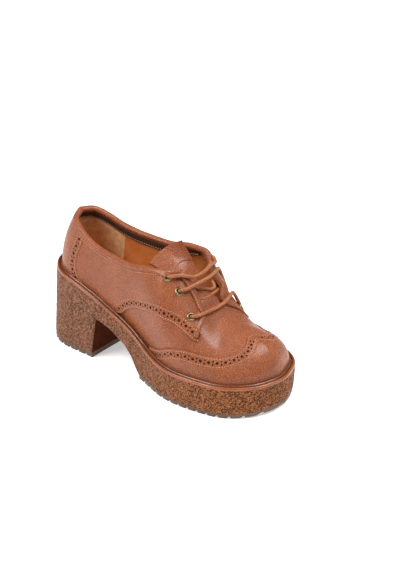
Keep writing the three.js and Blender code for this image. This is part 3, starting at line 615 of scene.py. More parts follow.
def mottled(name, dark, light, size, roughness, depth, coat=0.0, metallic=0.0, specular=0.35):
    """Two tones of one colour in soft blots, with a fine bump."""
    recipe = Recipe(name, roughness, coat, metallic=metallic, specular=specular)
    blots = recipe.sum(recipe.noise(size), recipe.noise(size / 5), 0.5)
    recipe.colour(recipe.blend(recipe.ramp(blots, 0.45, 1.0), dark, light))
    recipe.rough(recipe.ramp(recipe.noise(size / 3), 0.3, 0.7, roughness - 0.06, roughness + 0.06))
    recipe.bump(recipe.noise(size / 6), depth)
    return recipe.made


def crepe_rubber():
    """Moulded wall like crepe: short worms lit by a painted highlight over pits darkened as painted shade,
    both following the bump's height, more orange to the toe.
    """
    recipe = Recipe("crepe", 0.6, 0.05, 0.35, specular=0.12)
    worms = recipe.ridge(recipe.noise(WORM_SIZE, 1.5), 0.12)
    crumbs = recipe.ramp(recipe.noise(CRUMB_SIZE, 2.0), 0.35, 0.65)
    height = recipe.sum(worms, crumbs, 0.5)
    forward = recipe.ramp(recipe.along(), -60 * MM, 90 * MM)
    # Worm tops take the light colour, a painted highlight; the pits take near-black, painted shade
    painted_highlight_peaks = recipe.blend(forward, (0.36, 0.160, 0.088), (0.45, 0.160, 0.052))
    painted_shade_pits = recipe.blend(forward, (0.095, 0.034, 0.016), (0.060, 0.016, 0.005))
    recipe.colour(recipe.blend(recipe.ramp(height, 0.25, 1.35), painted_shade_pits, painted_highlight_peaks))
    recipe.bump(height, WORM_DEPTH)
    return recipe.made


def braided(name, dark, light):
    recipe = Recipe(name, 0.5)
    weave = recipe.noise(0.8)
    recipe.colour(recipe.blend(recipe.ramp(weave, 0.35, 0.65), dark, light))
    recipe.bump(weave, 0.08)
    return recipe.made


leather = grained_leather("leather", (0.26, 0.066, 0.020), (0.36, 0.104, 0.034), (0.15, 0.036, 0.011))
lining = mottled("lining", (0.42, 0.120, 0.028), (0.60, 0.215, 0.058), 12.0, 0.5, 0.05)
suede = mottled("suede", (0.50, 0.260, 0.110), (0.80, 0.520, 0.270), 5.0, 0.9, 0.15)
crepe = crepe_rubber()
# Very dark and barely glossy: painted shade on the heel breast and the waist's underside, under the arch
painted_shade_breast = mottled("painted_shade_breast", (0.040, 0.007, 0.002), (0.090, 0.019, 0.005), 10.0, 0.8, 0.05, specular=0.05)
tread_rubber = mottled("tread_rubber", (0.085, 0.048, 0.032), (0.15, 0.090, 0.062), 8.0, 0.5, 0.05)
welt_lip = mottled("welt_lip", (0.21, 0.046, 0.010), (0.32, 0.088, 0.020), 14.0, 0.32, 0.03, 0.4)
welt_bead = mottled("welt_bead", (0.11, 0.030, 0.011), (0.20, 0.062, 0.024), 9.0, 0.35, 0.04, 0.4)
thread = mottled("thread", (0.40, 0.155, 0.065), (0.58, 0.290, 0.150), 0.8, 0.6, 0.03)
thread_white = mottled("thread_white", (0.36, 0.230, 0.140), (0.52, 0.360, 0.230), 0.8, 0.6, 0.03)
brass = mottled("brass", (0.10, 0.070, 0.030), (0.34, 0.270, 0.150), 1.2, 0.33, 0.02, metallic=1.0)
cord_brown = braided("cord_brown", (0.19, 0.055, 0.018), (0.44, 0.160, 0.062))
# Very dark: the collar facing, and the sheet under the brogue holes, where it is painted shade in the holes
dark_lining_and_painted_hole_shade = mottled("dark_lining_and_painted_hole_shade", (0.030, 0.011, 0.006), (0.070, 0.026, 0.013), 3.0, 0.7, 0.05)


# Sole: wall, underside and top as one closed skin over pairs of rim places of equal x
def rim_pairs(spacing, marks):
    """Rim places on the outer and inner side with the same x, from heel to toe."""
    dense = np.linspace(0, ROWS, 2601)
    outer = outline(dense, 0.0)
    reach = np.maximum.accumulate(outer[:, 0])
    arc = lengths_along(outer)
    x = np.interp(np.linspace(0, arc[-1], int(arc[-1] / spacing)), arc, reach)
    for mark in marks:
        x[np.argmin(abs(x - mark))] = mark
    inner = np.maximum.accumulate(outline(LOOP - dense, 0.0)[:, 0])
    return np.interp(x, reach, dense), LOOP - np.interp(x, inner, dense), x


def splayed(j, z, inset=0.0):
    """A point of the sole's wall, which leans so that it meets the rim at the deck."""
    x = outline(j, 0.0)[..., 0]
    heel = 1 - smooth(0.3, 0.5, x / LENGTH)
    flare = mix(HEEL_SIDE_FLARE, HEEL_BACK_FLARE, np.clip(inward(j)[..., 0], 0, 1))
    splay = mix(-PLATFORM_TUCK, flare, heel)
    plan = outline(j, inset - splay * (1 - z / deck(x)))
    return np.concatenate([plan, z[..., None]], -1)


def sole_underside(x):
    share = x / LENGTH
    along = [BREAST_FOOT, *WAIST_ALONG, TREAD_START - 1 / LENGTH]
    under = [TREAD / HEEL_SEAT, *WAIST_UNDER, TREAD / HEEL_SEAT]
    return np.interp(share, along, under) * HEEL_SEAT + spring(x)


def sole_unit():
    marks = [BREAST_FOOT * LENGTH, *(share * LENGTH for share in WAIST_ALONG), TREAD_START * LENGTH]
    outer_j, inner_j, x = rim_pairs(0.8, marks)
    rows = 72
    across = 16
    count = len(x)
    low = sole_underside(x)
    walls = []
    for j in (outer_j, inner_j):
        up = np.linspace(0, 1, rows + 1)[None, :]
        z = mix(low[:, None], deck(x)[:, None], up)
        point = splayed(np.repeat(j[:, None], rows + 1, 1), z)
        way = inward(j)[:, None, :]
        edge = np.minimum(z - low[:, None], deck(x)[:, None] - z)
        lift = crepe_height(point) * smooth(0, 1.2, edge)
        point[..., :2] -= way * lift[..., None]
        walls.append(point)
    side = np.linspace(0, 1, across + 1)[None, :, None]
    bottom = mix(walls[0][:, 0][:, None], walls[1][:, 0][:, None], side)
    top = mix(walls[0][:, -1][:, None], walls[1][:, -1][:, None], side)
    points = np.concatenate([part.reshape(-1, 3) for part in (walls[0], walls[1], bottom, top)])
    wall_size = count * (rows + 1)
    bed_size = count * (across + 1)
    faces = [grid_faces(count, rows + 1), grid_faces(count, rows + 1, wall_size),
             grid_faces(count, across + 1, 2 * wall_size),
             grid_faces(count, across + 1, 2 * wall_size + bed_size)]
    # The heel breast and waist underside get the very dark material: painted shade under the arch
    painted_shade_underside = (x[:-1] > BREAST_FOOT * LENGTH - 0.5) & (x[:-1] < TREAD_START * LENGTH)
    marks = [np.zeros(len(faces[0])), np.zeros(len(faces[1])), np.repeat(painted_shade_underside, across),
             np.zeros(len(faces[3]))]
    piece("sole_unit_skin", points, np.concatenate(faces), [crepe, painted_shade_breast],
          ["sole_unit"], np.concatenate(marks))


CREPE_SIZE = 2.2
CREPE_DEPTH = 0.38


def crepe_height(points):
    """Lumps of the crepe-like wall: short worms from two layers of noise."""
    lumps = ripple(points, CREPE_SIZE)
    fine = ripple(points, CREPE_SIZE * 0.5, 7.0)
    return CREPE_DEPTH * (1 - 2 * np.abs(lumps) + 0.5 * fine)


def tread(name, node, x_from, x_to):
    """Smooth band and lugs under the sole, between two places along the shoe."""
    outer_j, inner_j, x = rim_pairs(1.2, [x_from, x_to])
    keep = (x >= x_from - 0.01) & (x <= x_to + 0.01)
    outer_j, inner_j, x = outer_j[keep], inner_j[keep], x[keep]
    heights = np.array([0.0, 0.25, 0.8, TREAD - 0.2, TREAD + 0.3])
    tuck = np.array([0.8, 0.25, 0.0, 0.0, 0.6])
    sides = []
    for j in (outer_j, inner_j):
        z = np.repeat(heights[None, :], len(x), 0)
        point = splayed(np.repeat(j[:, None], len(heights), 1), z, np.repeat(tuck[None, :], len(x), 0))
        point[..., 2] += spring(x)[:, None]
        sides.append(point)
    ring = np.concatenate([sides[0], sides[1][:, ::-1]], 1)
    cut_grooves(hose(name, ring, tread_rubber, [node]), x_from, x_to)


def cut_grooves(band, x_from, x_to):
    count = max(1, round((x_to - x_from + GROOVE) / LUG_PITCH))
    pitch = (x_to - x_from + GROOVE) / count
    work = bmesh.new()
    for k in range(count - 1):
        middle = x_from + (k + 1) * pitch - GROOVE / 2
        centre = (np.array([middle, 0, spring(middle) + LUG_DEPTH - 5]) - SHIFT) * MM
        box = bmesh.ops.create_cube(work, size=1)
        for vertex in box["verts"]:
            widen = 1.0 if vertex.co.z > 0 else 1.35
            size = Vector((GROOVE * widen, 2 * BALL_WIDTH, 10)) * MM
            vertex.co = Vector(centre) + Vector([a * b for a, b in zip(vertex.co, size)])
    cut(band, work, 40)


def cut(thing, work, sharp):
    """Takes the closed bodies in work away from a piece."""
    mesh = bpy.data.meshes.new("cutter")
    work.to_mesh(mesh)
    work.free()
    cutter = add_object("cutter", mesh)
    change = thing.modifiers.new("cut", "BOOLEAN")
    change.operation, change.solver, change.object = "DIFFERENCE", "MANIFOLD", cutter
    graph = bpy.context.evaluated_depsgraph_get()
    made = bpy.data.meshes.new_from_object(thing.evaluated_get(graph))
    thing.modifiers.clear()
    old = thing.data
    made.name = old.name + "_cut"
    thing.data = made
    bpy.data.meshes.remove(old)
    bpy.data.objects.remove(cutter)
    bpy.data.meshes.remove(mesh)
    thing.data.shade_smooth()
    thing.data.set_sharp_from_angle(angle=math.radians(sharp))


# Welt: outer lip, dark groove, and the bead against the upper. Inset, then height.
WELT_SECTION = np.array([
    [0.60, -0.40], [0.05, 0.10], [-0.10, 0.90], [0.00, 1.70], [0.40, 2.35], [1.10, 2.60], [1.80, 2.45],
    [2.25, 1.90], [2.45, 1.30], [2.75, 1.20], [3.00, 1.70], [3.35, 2.45], [3.95, 2.95], [4.65, 3.05],
    [5.20, 2.70], [5.60, 1.90], [5.80, 0.60], [5.80, -0.40],
])
LIP_POINTS = 9


def catmull(points, steps):
    """A smooth line through points, with that many steps between each two."""
    ends = np.concatenate([2 * points[:1] - points[1:2], points, 2 * points[-1:] - points[-2:-1]])
    out = []
    for k in range(len(points) - 1):
        a, b, c, d = ends[k:k + 4]
        t = (np.arange(steps) / steps)[:, None]
        out.append(cubic(b, c, (c - a) / 2, (d - b) / 2, t))
    out.append(points[-1:])
    return np.concatenate(out)


def welt():
    section = catmull(WELT_SECTION, 3)
    arc = lengths_along(outline(np.linspace(0, LOOP, 3001), 0.0))
    j = np.interp(np.linspace(0, arc[-1], 561)[:-1], arc, np.linspace(0, LOOP, 3001))
    plan = outline(j[:, None] + np.zeros(len(section)), np.repeat(section[None, :, 0], len(j), 0))
    z = deck(plan[..., 0]) + section[None, :, 1]
    points = np.concatenate([plan, z[..., None]], -1)
    points = np.concatenate([points, points[:, :1]], 1)
    columns = points.shape[1]
    faces = grid_faces(len(j), columns, ring=True)
    lip = np.arange(columns - 1) < 3 * LIP_POINTS
    piece("welt_strip", points.reshape(-1, 3), faces, [welt_bead, welt_lip], ["welt"],
          np.tile(lip, len(j)))


# Upper: vamp and quarter lining as one thin shell, open at the collar, the throat and below
tucked_at = height_share(1.0)
binding_seat_at = collar_share(BINDING_HEIGHT - 1.5)


def bend_share(station):
    """Where the bound edge leaves the collar's top line and turns down to the facing."""
    return mix(1.0, float(quarter_top(8.2)), smooth(6.0, 7.2, station))


def edge_share(j):
    station = station_of(j)
    throat = np.minimum(throat_at(station) - THROAT_SHIFT * inner_shift(j), binding_seat_at(COLLAR_END))
    edge = np.where(station <= COLLAR_END, binding_seat_at(j), throat)
    return np.where(station < THROAT_ROOT - 1, np.minimum(edge, bend_share(station) - 0.03), edge)


VAMP_RELIEF = 0.14
VAMP_RELIEF_SIZE = 17.0


def upper():
    root = 130
    side = np.concatenate([np.linspace(0, THROAT_ROOT, root + 1),
                           np.linspace(THROAT_ROOT, ROWS, 61)[1:]])
    steps = len(side) - 1
    low_rows, ridge_rows = 44, 14
    places = np.concatenate([side, LOOP - side[:-1][::-1]])
    columns = len(places)
    rows = low_rows + ridge_rows
    edge = edge_share(places)
    low = np.linspace(0, 1, low_rows + 1)[None, :] * edge[:, None]
    high = mix(edge[:, None], 1, np.linspace(0, 1, ridge_rows + 1)[None, 1:])
    share = np.concatenate([low, high], 1)
    grid_j = np.repeat(places[:, None], rows + 1, 1)
    relief = VAMP_RELIEF * ripple(last_point(grid_j, share), VAMP_RELIEF_SIZE, 3.0)
    outer = skin(grid_j, share) + last_normal(grid_j, share) * relief[..., None]
    inner = skin(grid_j, share, -WALL)
    quads = grid_faces(columns, rows + 1)
    column_of, row_of = np.divmod(np.arange(len(quads)), rows)
    front = (column_of >= root) & (column_of < 2 * steps - root)
    quads = quads[front | (row_of < low_rows)]
    count = columns * (rows + 1)
    points = np.concatenate([outer.reshape(-1, 3), inner.reshape(-1, 3)])
    walls = border_walls(quads, points[:count], count)
    faces = [*quads.tolist(), *(quads[:, ::-1] + count).tolist(), *walls]
    marks = np.concatenate([np.zeros(len(quads)), np.ones(len(quads)), np.ones(len(walls))])
    shell = piece("upper_shell", points, faces, [leather, lining], ["upper"], marks)
    bore(shell)


def border_walls(quads, points, count):
    """Faces that join a skin to its copy, count points further on, along the open border."""
    names = {}
    same = np.zeros(len(points), int)
    for k, point in enumerate(np.round(points, 3)):
        same[k] = names.setdefault(tuple(point), k)
    edges = {}
    for quad in quads:
        for k in range(4):
            edge = (int(quad[k]), int(quad[(k + 1) % 4]))
            key = tuple(sorted((same[edge[0]], same[edge[1]])))
            if key[0] != key[1]:
                edges.setdefault(key, []).append(edge)
    return [[b, a, a + count, b + count] for found in edges.values() if len(found) == 1
            for a, b in found]


def eyelet_places():
    """Name, loop place and share of each eyelet."""
    for side in ("lateral", "medial"):
        for k, (station, share) in enumerate(zip(EYELET_STATION, EYELET_SHARE)):
            j = station if side == "lateral" else LOOP - station
            yield f"eyelet_{side}_{k + 1}", j, share - EYELET_SHIFT * float(inner_shift(j))


def frame_at(j, share, offset):
    """Seat, and the directions along, up and out of the skin, at one place."""
    seat = skin(j, share)
    out = skin_normal(j, share)
    along = skin(j + 0.01, share) - seat
    along -= out * along.dot(out)
    along = unit(along)
    return seat + out * offset, along, np.cross(out, along), out


BORE_REACH = 9
BORE_PLAY = 0.45


def bore(thing):
    """The round holes for the eyelets."""
    work = bmesh.new()
    for _, j, share in eyelet_places():
        seat, _, _, out = frame_at(j, share, 0.0)
        add_rod(work, seat - out * BORE_REACH, seat + out * BORE_REACH, EYELET_BORE / 2 + BORE_PLAY, 20)
    cut(thing, work, 40)


def add_rod(work, start, end, radius, sides):
    """A closed prism between two points."""
    axis = unit(end - start)
    helper = np.array([1.0, 0, 0]) if abs(axis[0]) < 0.8 else np.array([0, 1.0, 0])
    across = unit(np.cross(axis, helper))
    other = np.cross(axis, across)
    angles = np.arange(sides) * 2 * math.pi / sides
    ring = np.cos(angles)[:, None] * across + np.sin(angles)[:, None] * other
    ends = [[work.verts.new(Vector((centre + way * radius - SHIFT) * MM)) for way in ring]
            for centre in (start, end)]
    for k in range(sides):
        work.faces.new([ends[0][k], ends[0][(k + 1) % sides], ends[1][(k + 1) % sides], ends[1][k]])
    work.faces.new(ends[0][::-1])
    work.faces.new(ends[1])


LOCATE_ROUNDS = 5


def locate(target, j, share):
    """Places on the last nearest to some target points, walked to from a first guess."""
    j, share = np.array(j, float), np.array(share, float)
    step = 1e-3
    for _ in range(LOCATE_ROUNDS):
        here = skin(j, share)
        by_j = (skin(j + step, share) - here) / step
        by_share = (skin(j, share + step) - here) / step
        miss = target - here
        a, b, c = ((x * y).sum(-1) for x, y in ((by_j, by_j), (by_j, by_share), (by_share, by_share)))
        p, q = (by_j * miss).sum(-1), (by_share * miss).sum(-1)
        det = a * c - b * b
        j += np.clip((c * p - b * q) / det, -0.2, 0.2)
        share += np.clip((a * q - b * p) / det, -0.1, 0.1)
    return j, share


def resample(j, share, pitch):
    """The same line on the last, at even steps of about that length."""
    arc = lengths_along(skin(j, share))
    count = max(2, int(round(arc[-1] / pitch)) + 1)
    at = np.linspace(0, arc[-1], count)
    return np.interp(at, arc, j), np.interp(at, arc, share)


def walk(j, share):
    """Points of a line on the last, with the unit ways along it, to its left and out."""
    point, out = skin(j, share), skin_normal(j, share)
    along = unit(np.gradient(point, axis=0))
    return point, along, unit(np.cross(out, along)), out


def inset(j, share, distance):
    """A line on the last moved sideways by a distance: to its left is positive."""
    point, _, side, _ = walk(j, share)
    return locate(point + side * distance, j, share)


# Panels of leather. The net is finer next to the edges, at these distances from them.
NET_NEAR = np.array([0.0, 0.12, 0.35, 0.7, 1.15])
NET_SPACING = 0.75
PANEL_SEAT = -0.2
SEAM_WIDTH = 0.55
SEAM_DEPTH = 0.2


class Panel:
    """A piece of leather on the last: at(a, b) gives the loop place and share of its net."""

    def __init__(self, at, edges, thickness):
        self.thickness = thickness
        a = self.clustered(self.length(at))
        coarse = np.linspace(0, 1, 41)
        net = skin(*at(a[:, None], coarse[None, :]))
        arcs = np.array([lengths_along(line) for line in net])
        b_even = self.clustered(float(np.median(arcs[:, -1])))
        b = np.array([np.interp(b_even * arc[-1], arc, coarse) for arc in arcs])
        self.j, self.share = at(np.repeat(a[:, None], b.shape[1], 1), b)
        self.base = skin(self.j, self.share)
        self.normal = skin_normal(self.j, self.share)
        lines = [skin(*resample(*edge, 0.35)) for edge in edges]
        self.edge_distance = distance_to(self.base, lines)
        self.lift = self.profile()

    @staticmethod
    def length(at):
        t = np.linspace(0, 1, 41)
        return float(lengths_along(skin(*at(t, np.full(41, 0.5))))[-1])

    @staticmethod
    def clustered(length):
        inner = np.linspace(NET_NEAR[-1], length - NET_NEAR[-1], max(3, int(length / NET_SPACING)))
        return np.concatenate([NET_NEAR[:-1], inner, length - NET_NEAR[:-1][::-1]]) / length

    def profile(self):
        t = np.clip(self.edge_distance / EDGE_ROUND, 0, 1)
        rounded = 0.3 + 0.7 * np.sqrt(np.clip(1 - (1 - t) ** 2, 0, 1))
        return self.thickness * rounded + 0.1 * ripple(self.base, 15.0, 5.0) * t

    def press(self, line, width=SEAM_WIDTH, depth=SEAM_DEPTH):
        """A furrow along a line on the last."""
        away = distance_to(self.base, [skin(*resample(*line, 0.35))])
        self.lift = self.lift - depth * np.exp(-(away / width) ** 2)

    def meet(self):
        """Makes the two halves of the far border one line where they meet on the ridge."""
        met = self.share[:, -1] > 0.9999
        for values in (self.base, self.normal, self.lift):
            line = values[:, -1]
            line[met] = ((line + line[::-1]) / 2)[met]

    def make(self, name, node, folded=False):
        """The piece itself. A folded one has halves of its far border that meet on the ridge."""
        if folded:
            self.meet()
        top = (self.base + self.normal * self.lift[..., None]).reshape(-1, 3)
        bottom = (self.base + self.normal * PANEL_SEAT).reshape(-1, 3)
        faces = slab_faces(*self.j.shape)
        if folded:
            quads = grid_faces(*self.j.shape)
            faces = np.concatenate([faces[:2 * len(quads)], border_walls(quads, top, len(top))])
        return piece(name, np.concatenate([top, bottom]), faces, [leather], [node])


def thread_line(line, lift):
    """Stitches along a line on the last: centres, and ways along and out."""
    arc = lengths_along(skin(*line))
    j, share = resample(*line, STITCH_LENGTH + STITCH_GAP)
    lifts = np.interp(np.linspace(0, arc[-1], len(j)), arc, np.broadcast_to(lift, len(arc)))
    point, along, _, out = walk(j, share)
    return list(zip(point + out * lifts[:, None], along, out))


STITCH_STOPS = np.array([-1.0, -0.86, -0.5, 0.0, 0.5, 0.86, 1.0])
STITCH_SIZES = np.array([0.25, 0.7, 0.95, 1.0, 0.95, 0.7, 0.25])
STITCH_SIDES = 8


def sew(name, stitches, material):
    """One mesh of small rounded stitches."""
    rings = len(STITCH_STOPS)
    angles = np.arange(STITCH_SIDES) * 2 * math.pi / STITCH_SIDES
    turn, after = np.arange(STITCH_SIDES), (np.arange(STITCH_SIDES) + 1) % STITCH_SIDES
    wall = np.concatenate([np.stack([turn, after, after + STITCH_SIDES, turn + STITCH_SIDES], -1)
                           + ring * STITCH_SIDES for ring in range(rings - 1)])
    ends = [turn[::-1], turn + (rings - 1) * STITCH_SIDES]
    points, faces = [], []
    for k, (centre, along, out) in enumerate(stitches):
        spine = (centre + along * (STITCH_STOPS * STITCH_LENGTH / 2)[:, None]
                 - out * (0.35 * STITCH_WIDTH * STITCH_STOPS ** 2)[:, None])
        way = np.cross(out, along) * np.cos(angles)[:, None] + out * np.sin(angles)[:, None]
        points.append(spine[:, None] + way[None] * (STITCH_SIZES * STITCH_WIDTH / 2)[:, None, None])
        start = k * rings * STITCH_SIDES
        faces += (wall + start).tolist() + [(end + start).tolist() for end in ends]
    piece(name, np.array(points).reshape(-1, 3), faces, [material])


BROGUE_PITCH = 7.2
BROGUE_LARGE = 2.6
BROGUE_SMALL = 1.5
BROGUE_SPREAD = 1.35
HOLE_DEPTH = 0.9
HOLE_REACH = 5
# The very dark sheet under the brogue holes, painted shade in them: places across, height over the skin,
# thickness
HOLE_SHADE_ACROSS = np.array([-2.6, -0.9, 0.9, 2.6])
HOLE_SHADE_HEIGHT = 0.42
HOLE_SHADE_THICKNESS = 0.3
painted_hole_shade_lines = []


def punch(thing, line):
    """Brogue holes along a line: one large hole, then a pair of small ones, and so on."""
    # Keeps the line for the very dark sheet that paints shade in its holes
    painted_hole_shade_lines.append(line)
    point, _, side, out = walk(*resample(*line, BROGUE_PITCH / 2))
    pair = [(-BROGUE_SPREAD, BROGUE_SMALL), (BROGUE_SPREAD, BROGUE_SMALL)]
    work = bmesh.new()
    for k in range(1, len(point) - 1):
        for shift, width in [(0.0, BROGUE_LARGE)] if k % 2 else pair:
            centre = point[k] + side[k] * shift
            add_rod(work, centre - out[k] * HOLE_DEPTH, centre + out[k] * HOLE_REACH, width / 2, 14)
    cut(thing, work, 38)


def brogue_hole_shade():
    """A very dark sheet behind the punched rows: painted shade in the brogue holes."""
    points, faces = [], []
    for line in painted_hole_shade_lines:
        centre, _, side, out = walk(*resample(*line, 1.2))
        across = side[:, None] * HOLE_SHADE_ACROSS[None, :, None]
        top = centre[:, None] + across + out[:, None] * HOLE_SHADE_HEIGHT
        bottom = top - out[:, None] * HOLE_SHADE_THICKNESS
        start = sum(len(block) for block in points)
        faces += (slab_faces(*top.shape[:2]) + start).tolist()
        points += [top.reshape(-1, 3), bottom.reshape(-1, 3)]
    piece("brogue_hole_shade", np.concatenate(points), faces, [dark_lining_and_painted_hole_shade])


# Wing cap
cap_share_at = monotone(CAP_STATION, CAP_SHARE)
CAP_START, CAP_PEAK = CAP_STATION[0], CAP_STATION[-1]
CAP_ROWS = (1.3, 8.0)
CAP_HOLES = 4.6
CAP_SEAM_DEPTH = 0.22


def cap_seam(side):
    """The cap's upper edge on one side, from its tail to the peak on the ridge."""
    station = np.linspace(CAP_START, CAP_PEAK, 200)
    share = np.maximum(cap_share_at(station), tucked_at(station) + 0.03)
    return (station if side < 0 else LOOP - station), share


def wing_cap():
    def at(a, b):
        j = mix(CAP_START, LOOP - CAP_START, a)
        station = station_of(j)
        low = tucked_at(j)
        high = np.where(station >= CAP_PEAK, 1.0, np.maximum(cap_share_at(station), low + 0.03))
        return j + 0 * b, mix(low, high, b)

    panel = Panel(at, [cap_seam(-1), cap_seam(1)], OVERLAY)
    rows = [trimmed(inset(*cap_seam(side), side * distance)) for distance in CAP_ROWS for side in (-1, 1)]
    for line in rows:
        panel.press(line, depth=CAP_SEAM_DEPTH)
    cap = panel.make("wing_cap_leather", "wing_cap", folded=True)
    for side in (-1, 1):
        punch(cap, trimmed(inset(*cap_seam(side), side * CAP_HOLES)))
    return [stitch for line in rows for stitch in thread_line(line, OVERLAY)]


RIDGE_SIDE = 0.995


def trimmed(line, gap=0.005, high=RIDGE_SIDE):
    """The part of a line that is a gap above the feather, and below the ridge or another share."""
    j, share = line
    keep = (share < high) & (share > tucked_at(j) + gap)
    return j[keep], share[keep]


# Quarters and counter
quarter_rows = np.arange(len(QUARTER_LOW))
quarter_low_station = monotone(quarter_rows, QUARTER_LOW_STATION)
quarter_low = monotone(quarter_rows, QUARTER_LOW)
quarter_top_station = monotone(quarter_rows, QUARTER_TOP_STATION)
quarter_top = monotone(quarter_rows, QUARTER_TOP)
counter_at = monotone(COUNTER_SHARE, COUNTER_STATION)
QUARTER_ROWS = (1.3, 8.2)
QUARTER_HOLES = 4.8
FACING_FOLD = 7.2
FOLD_WIDTH = 0.6
FOLD_DEPTH = 0.35
MEDIAL_THINNING = 0.6
COUNTER_LAP = 0.10
COUNTER_ROWS = (1.5, 8.0)
COUNTER_HOLES = 4.8


def on_side(station, side):
    return station if side < 0 else LOOP - station


def quarter(side):
    name = "lateral" if side < 0 else "medial"

    def at(a, b):
        row = a * (len(QUARTER_LOW) - 1)
        low_station, top_station = quarter_low_station(row), quarter_top_station(row)
        rear = (1 - smooth(0, 0.3, a)) * (counter_at(b) - COUNTER_LAP - mix(low_station, top_station, b))
        station = mix(low_station, top_station, b) + rear
        j = on_side(station, side)
        low = quarter_low(row) - QUARTER_SHIFT * inner_shift(on_side(low_station, side))
        top = quarter_top(row) - THROAT_SHIFT * inner_shift(on_side(top_station, side))
        collar = np.where(station <= COLLAR_END, binding_seat_at(j), 1.0)
        return j, mix(np.maximum(low, tucked_at(j)), np.minimum(top, collar), b)

    fine = np.linspace(0, 1, 400)
    low_edge = at(fine[fine > 0.24], np.zeros((fine > 0.24).sum()))
    front_edge = at(np.ones(200), np.linspace(0, 1, 200))
    throat_edge = at(fine[fine > 0.62], np.ones((fine > 0.62).sum()))
    panel = Panel(at, [low_edge, front_edge, throat_edge], OVERLAY)
    sign = -side
    rows = [trimmed(inset(*low_edge, sign * distance)) for distance in QUARTER_ROWS]
    for line in rows:
        panel.press(line)
    panel.press(inset(*throat_edge, -sign * FACING_FOLD), FOLD_WIDTH, FOLD_DEPTH)
    if side > 0:
        panel.lift = panel.lift * (1 - MEDIAL_THINNING * smooth(8.2, 9.0, station_of(panel.j)))
    leather_piece = panel.make(f"quarter_{name}_leather", f"quarter_{name}")
    punch(leather_piece, trimmed(inset(*low_edge, sign * QUARTER_HOLES)))
    bore(leather_piece)
    return [stitch for line in rows for stitch in thread_line(line, OVERLAY)]


def counter():
    def at(a, b):
        j = mix(-1, 1, a) * counter_at(b)
        return j, mix(tucked_at(j), binding_seat_at(j), b)

    ends = [at(np.full(200, edge), np.linspace(0, 1, 200)) for edge in (0.0, 1.0)]
    panel = Panel(at, ends, COUNTER_RISE)
    stitches = []
    punched = []
    for edge, sign in zip(ends, (-1, 1)):
        for distance in COUNTER_ROWS:
            line = trimmed_counter(inset(*edge, sign * distance))
            panel.press(line)
            stitches += thread_line(line, COUNTER_RISE)
        punched.append(trimmed_counter(inset(*edge, sign * COUNTER_HOLES)))
    thing = panel.make("counter_leather", "counter")
    for line in punched:
        punch(thing, line)
    return stitches


def trimmed_counter(line):
    return trimmed(line, 0.02, binding_seat_at(line[0]) - 0.01)


# Binding: a padded roll round the collar that runs on as a flat band down each facing.
# The band's section is a height over the skin, then a distance below the edge.
BAND_SECTION = np.array([
    [1.20, 6.60], [2.20, 6.60], [2.65, 6.10], [2.80, 4.80], [2.85, 3.20], [2.75, 1.50], [2.40, 0.30],
    [1.80, -0.30], [0.80, -0.50], [-0.60, -0.40], [-1.80, 0.10], [-2.70, 1.00], [-3.00, 2.20],
    [-2.80, 3.20], [-2.30, 3.60],
])
BAND_TOP = 2.85
BAND_STITCH = 5.3
ROLL_STITCH = 5.6
TIP_FADE = 30.0
TIP_SINK = 1.5
ROOT_WIDTH = 0.62
PLEAT = 0.14
PLEAT_SIZE = 3.4
ROOT_REACH = (20, 32)
UNSEWN = 8


def binding_path():
    """Place and share of the bound edge, from one facing's tip to the other's."""
    last_row = len(QUARTER_LOW) - 1
    tip = np.linspace(0.12, 0.9, 12)
    front_station = mix(QUARTER_LOW_STATION[-1], QUARTER_TOP_STATION[-1], tip)
    front_share = mix(QUARTER_LOW[-1], QUARTER_TOP[-1], tip)
    rows = np.linspace(last_row - 0.35, 8.4, 24)
    throat_station, throat_share = quarter_top_station(rows), quarter_top(rows)
    bend = np.linspace(6.9, 6.1, 9)
    station = np.concatenate([front_station, throat_station, bend])
    share = np.concatenate([front_share, throat_share, bend_share(bend)])
    inner = share - THROAT_SHIFT * inner_shift(LOOP - station)
    collar = np.linspace(6.0, -6.0, 61)
    j = np.concatenate([station, collar, -station[::-1]])
    share = np.concatenate([share, np.ones(61), inner[::-1]])
    return resample_smooth(j, share, 0.8)


def resample_smooth(j, share, pitch):
    """Even steps along a line on the last, its corners softened."""
    j, share = resample(j, share, pitch)
    for _ in range(24):
        j[1:-1] = (j[:-2] + 2 * j[1:-1] + j[2:]) / 4
        share[1:-1] = (share[:-2] + 2 * share[1:-1] + share[2:]) / 4
    return j, share


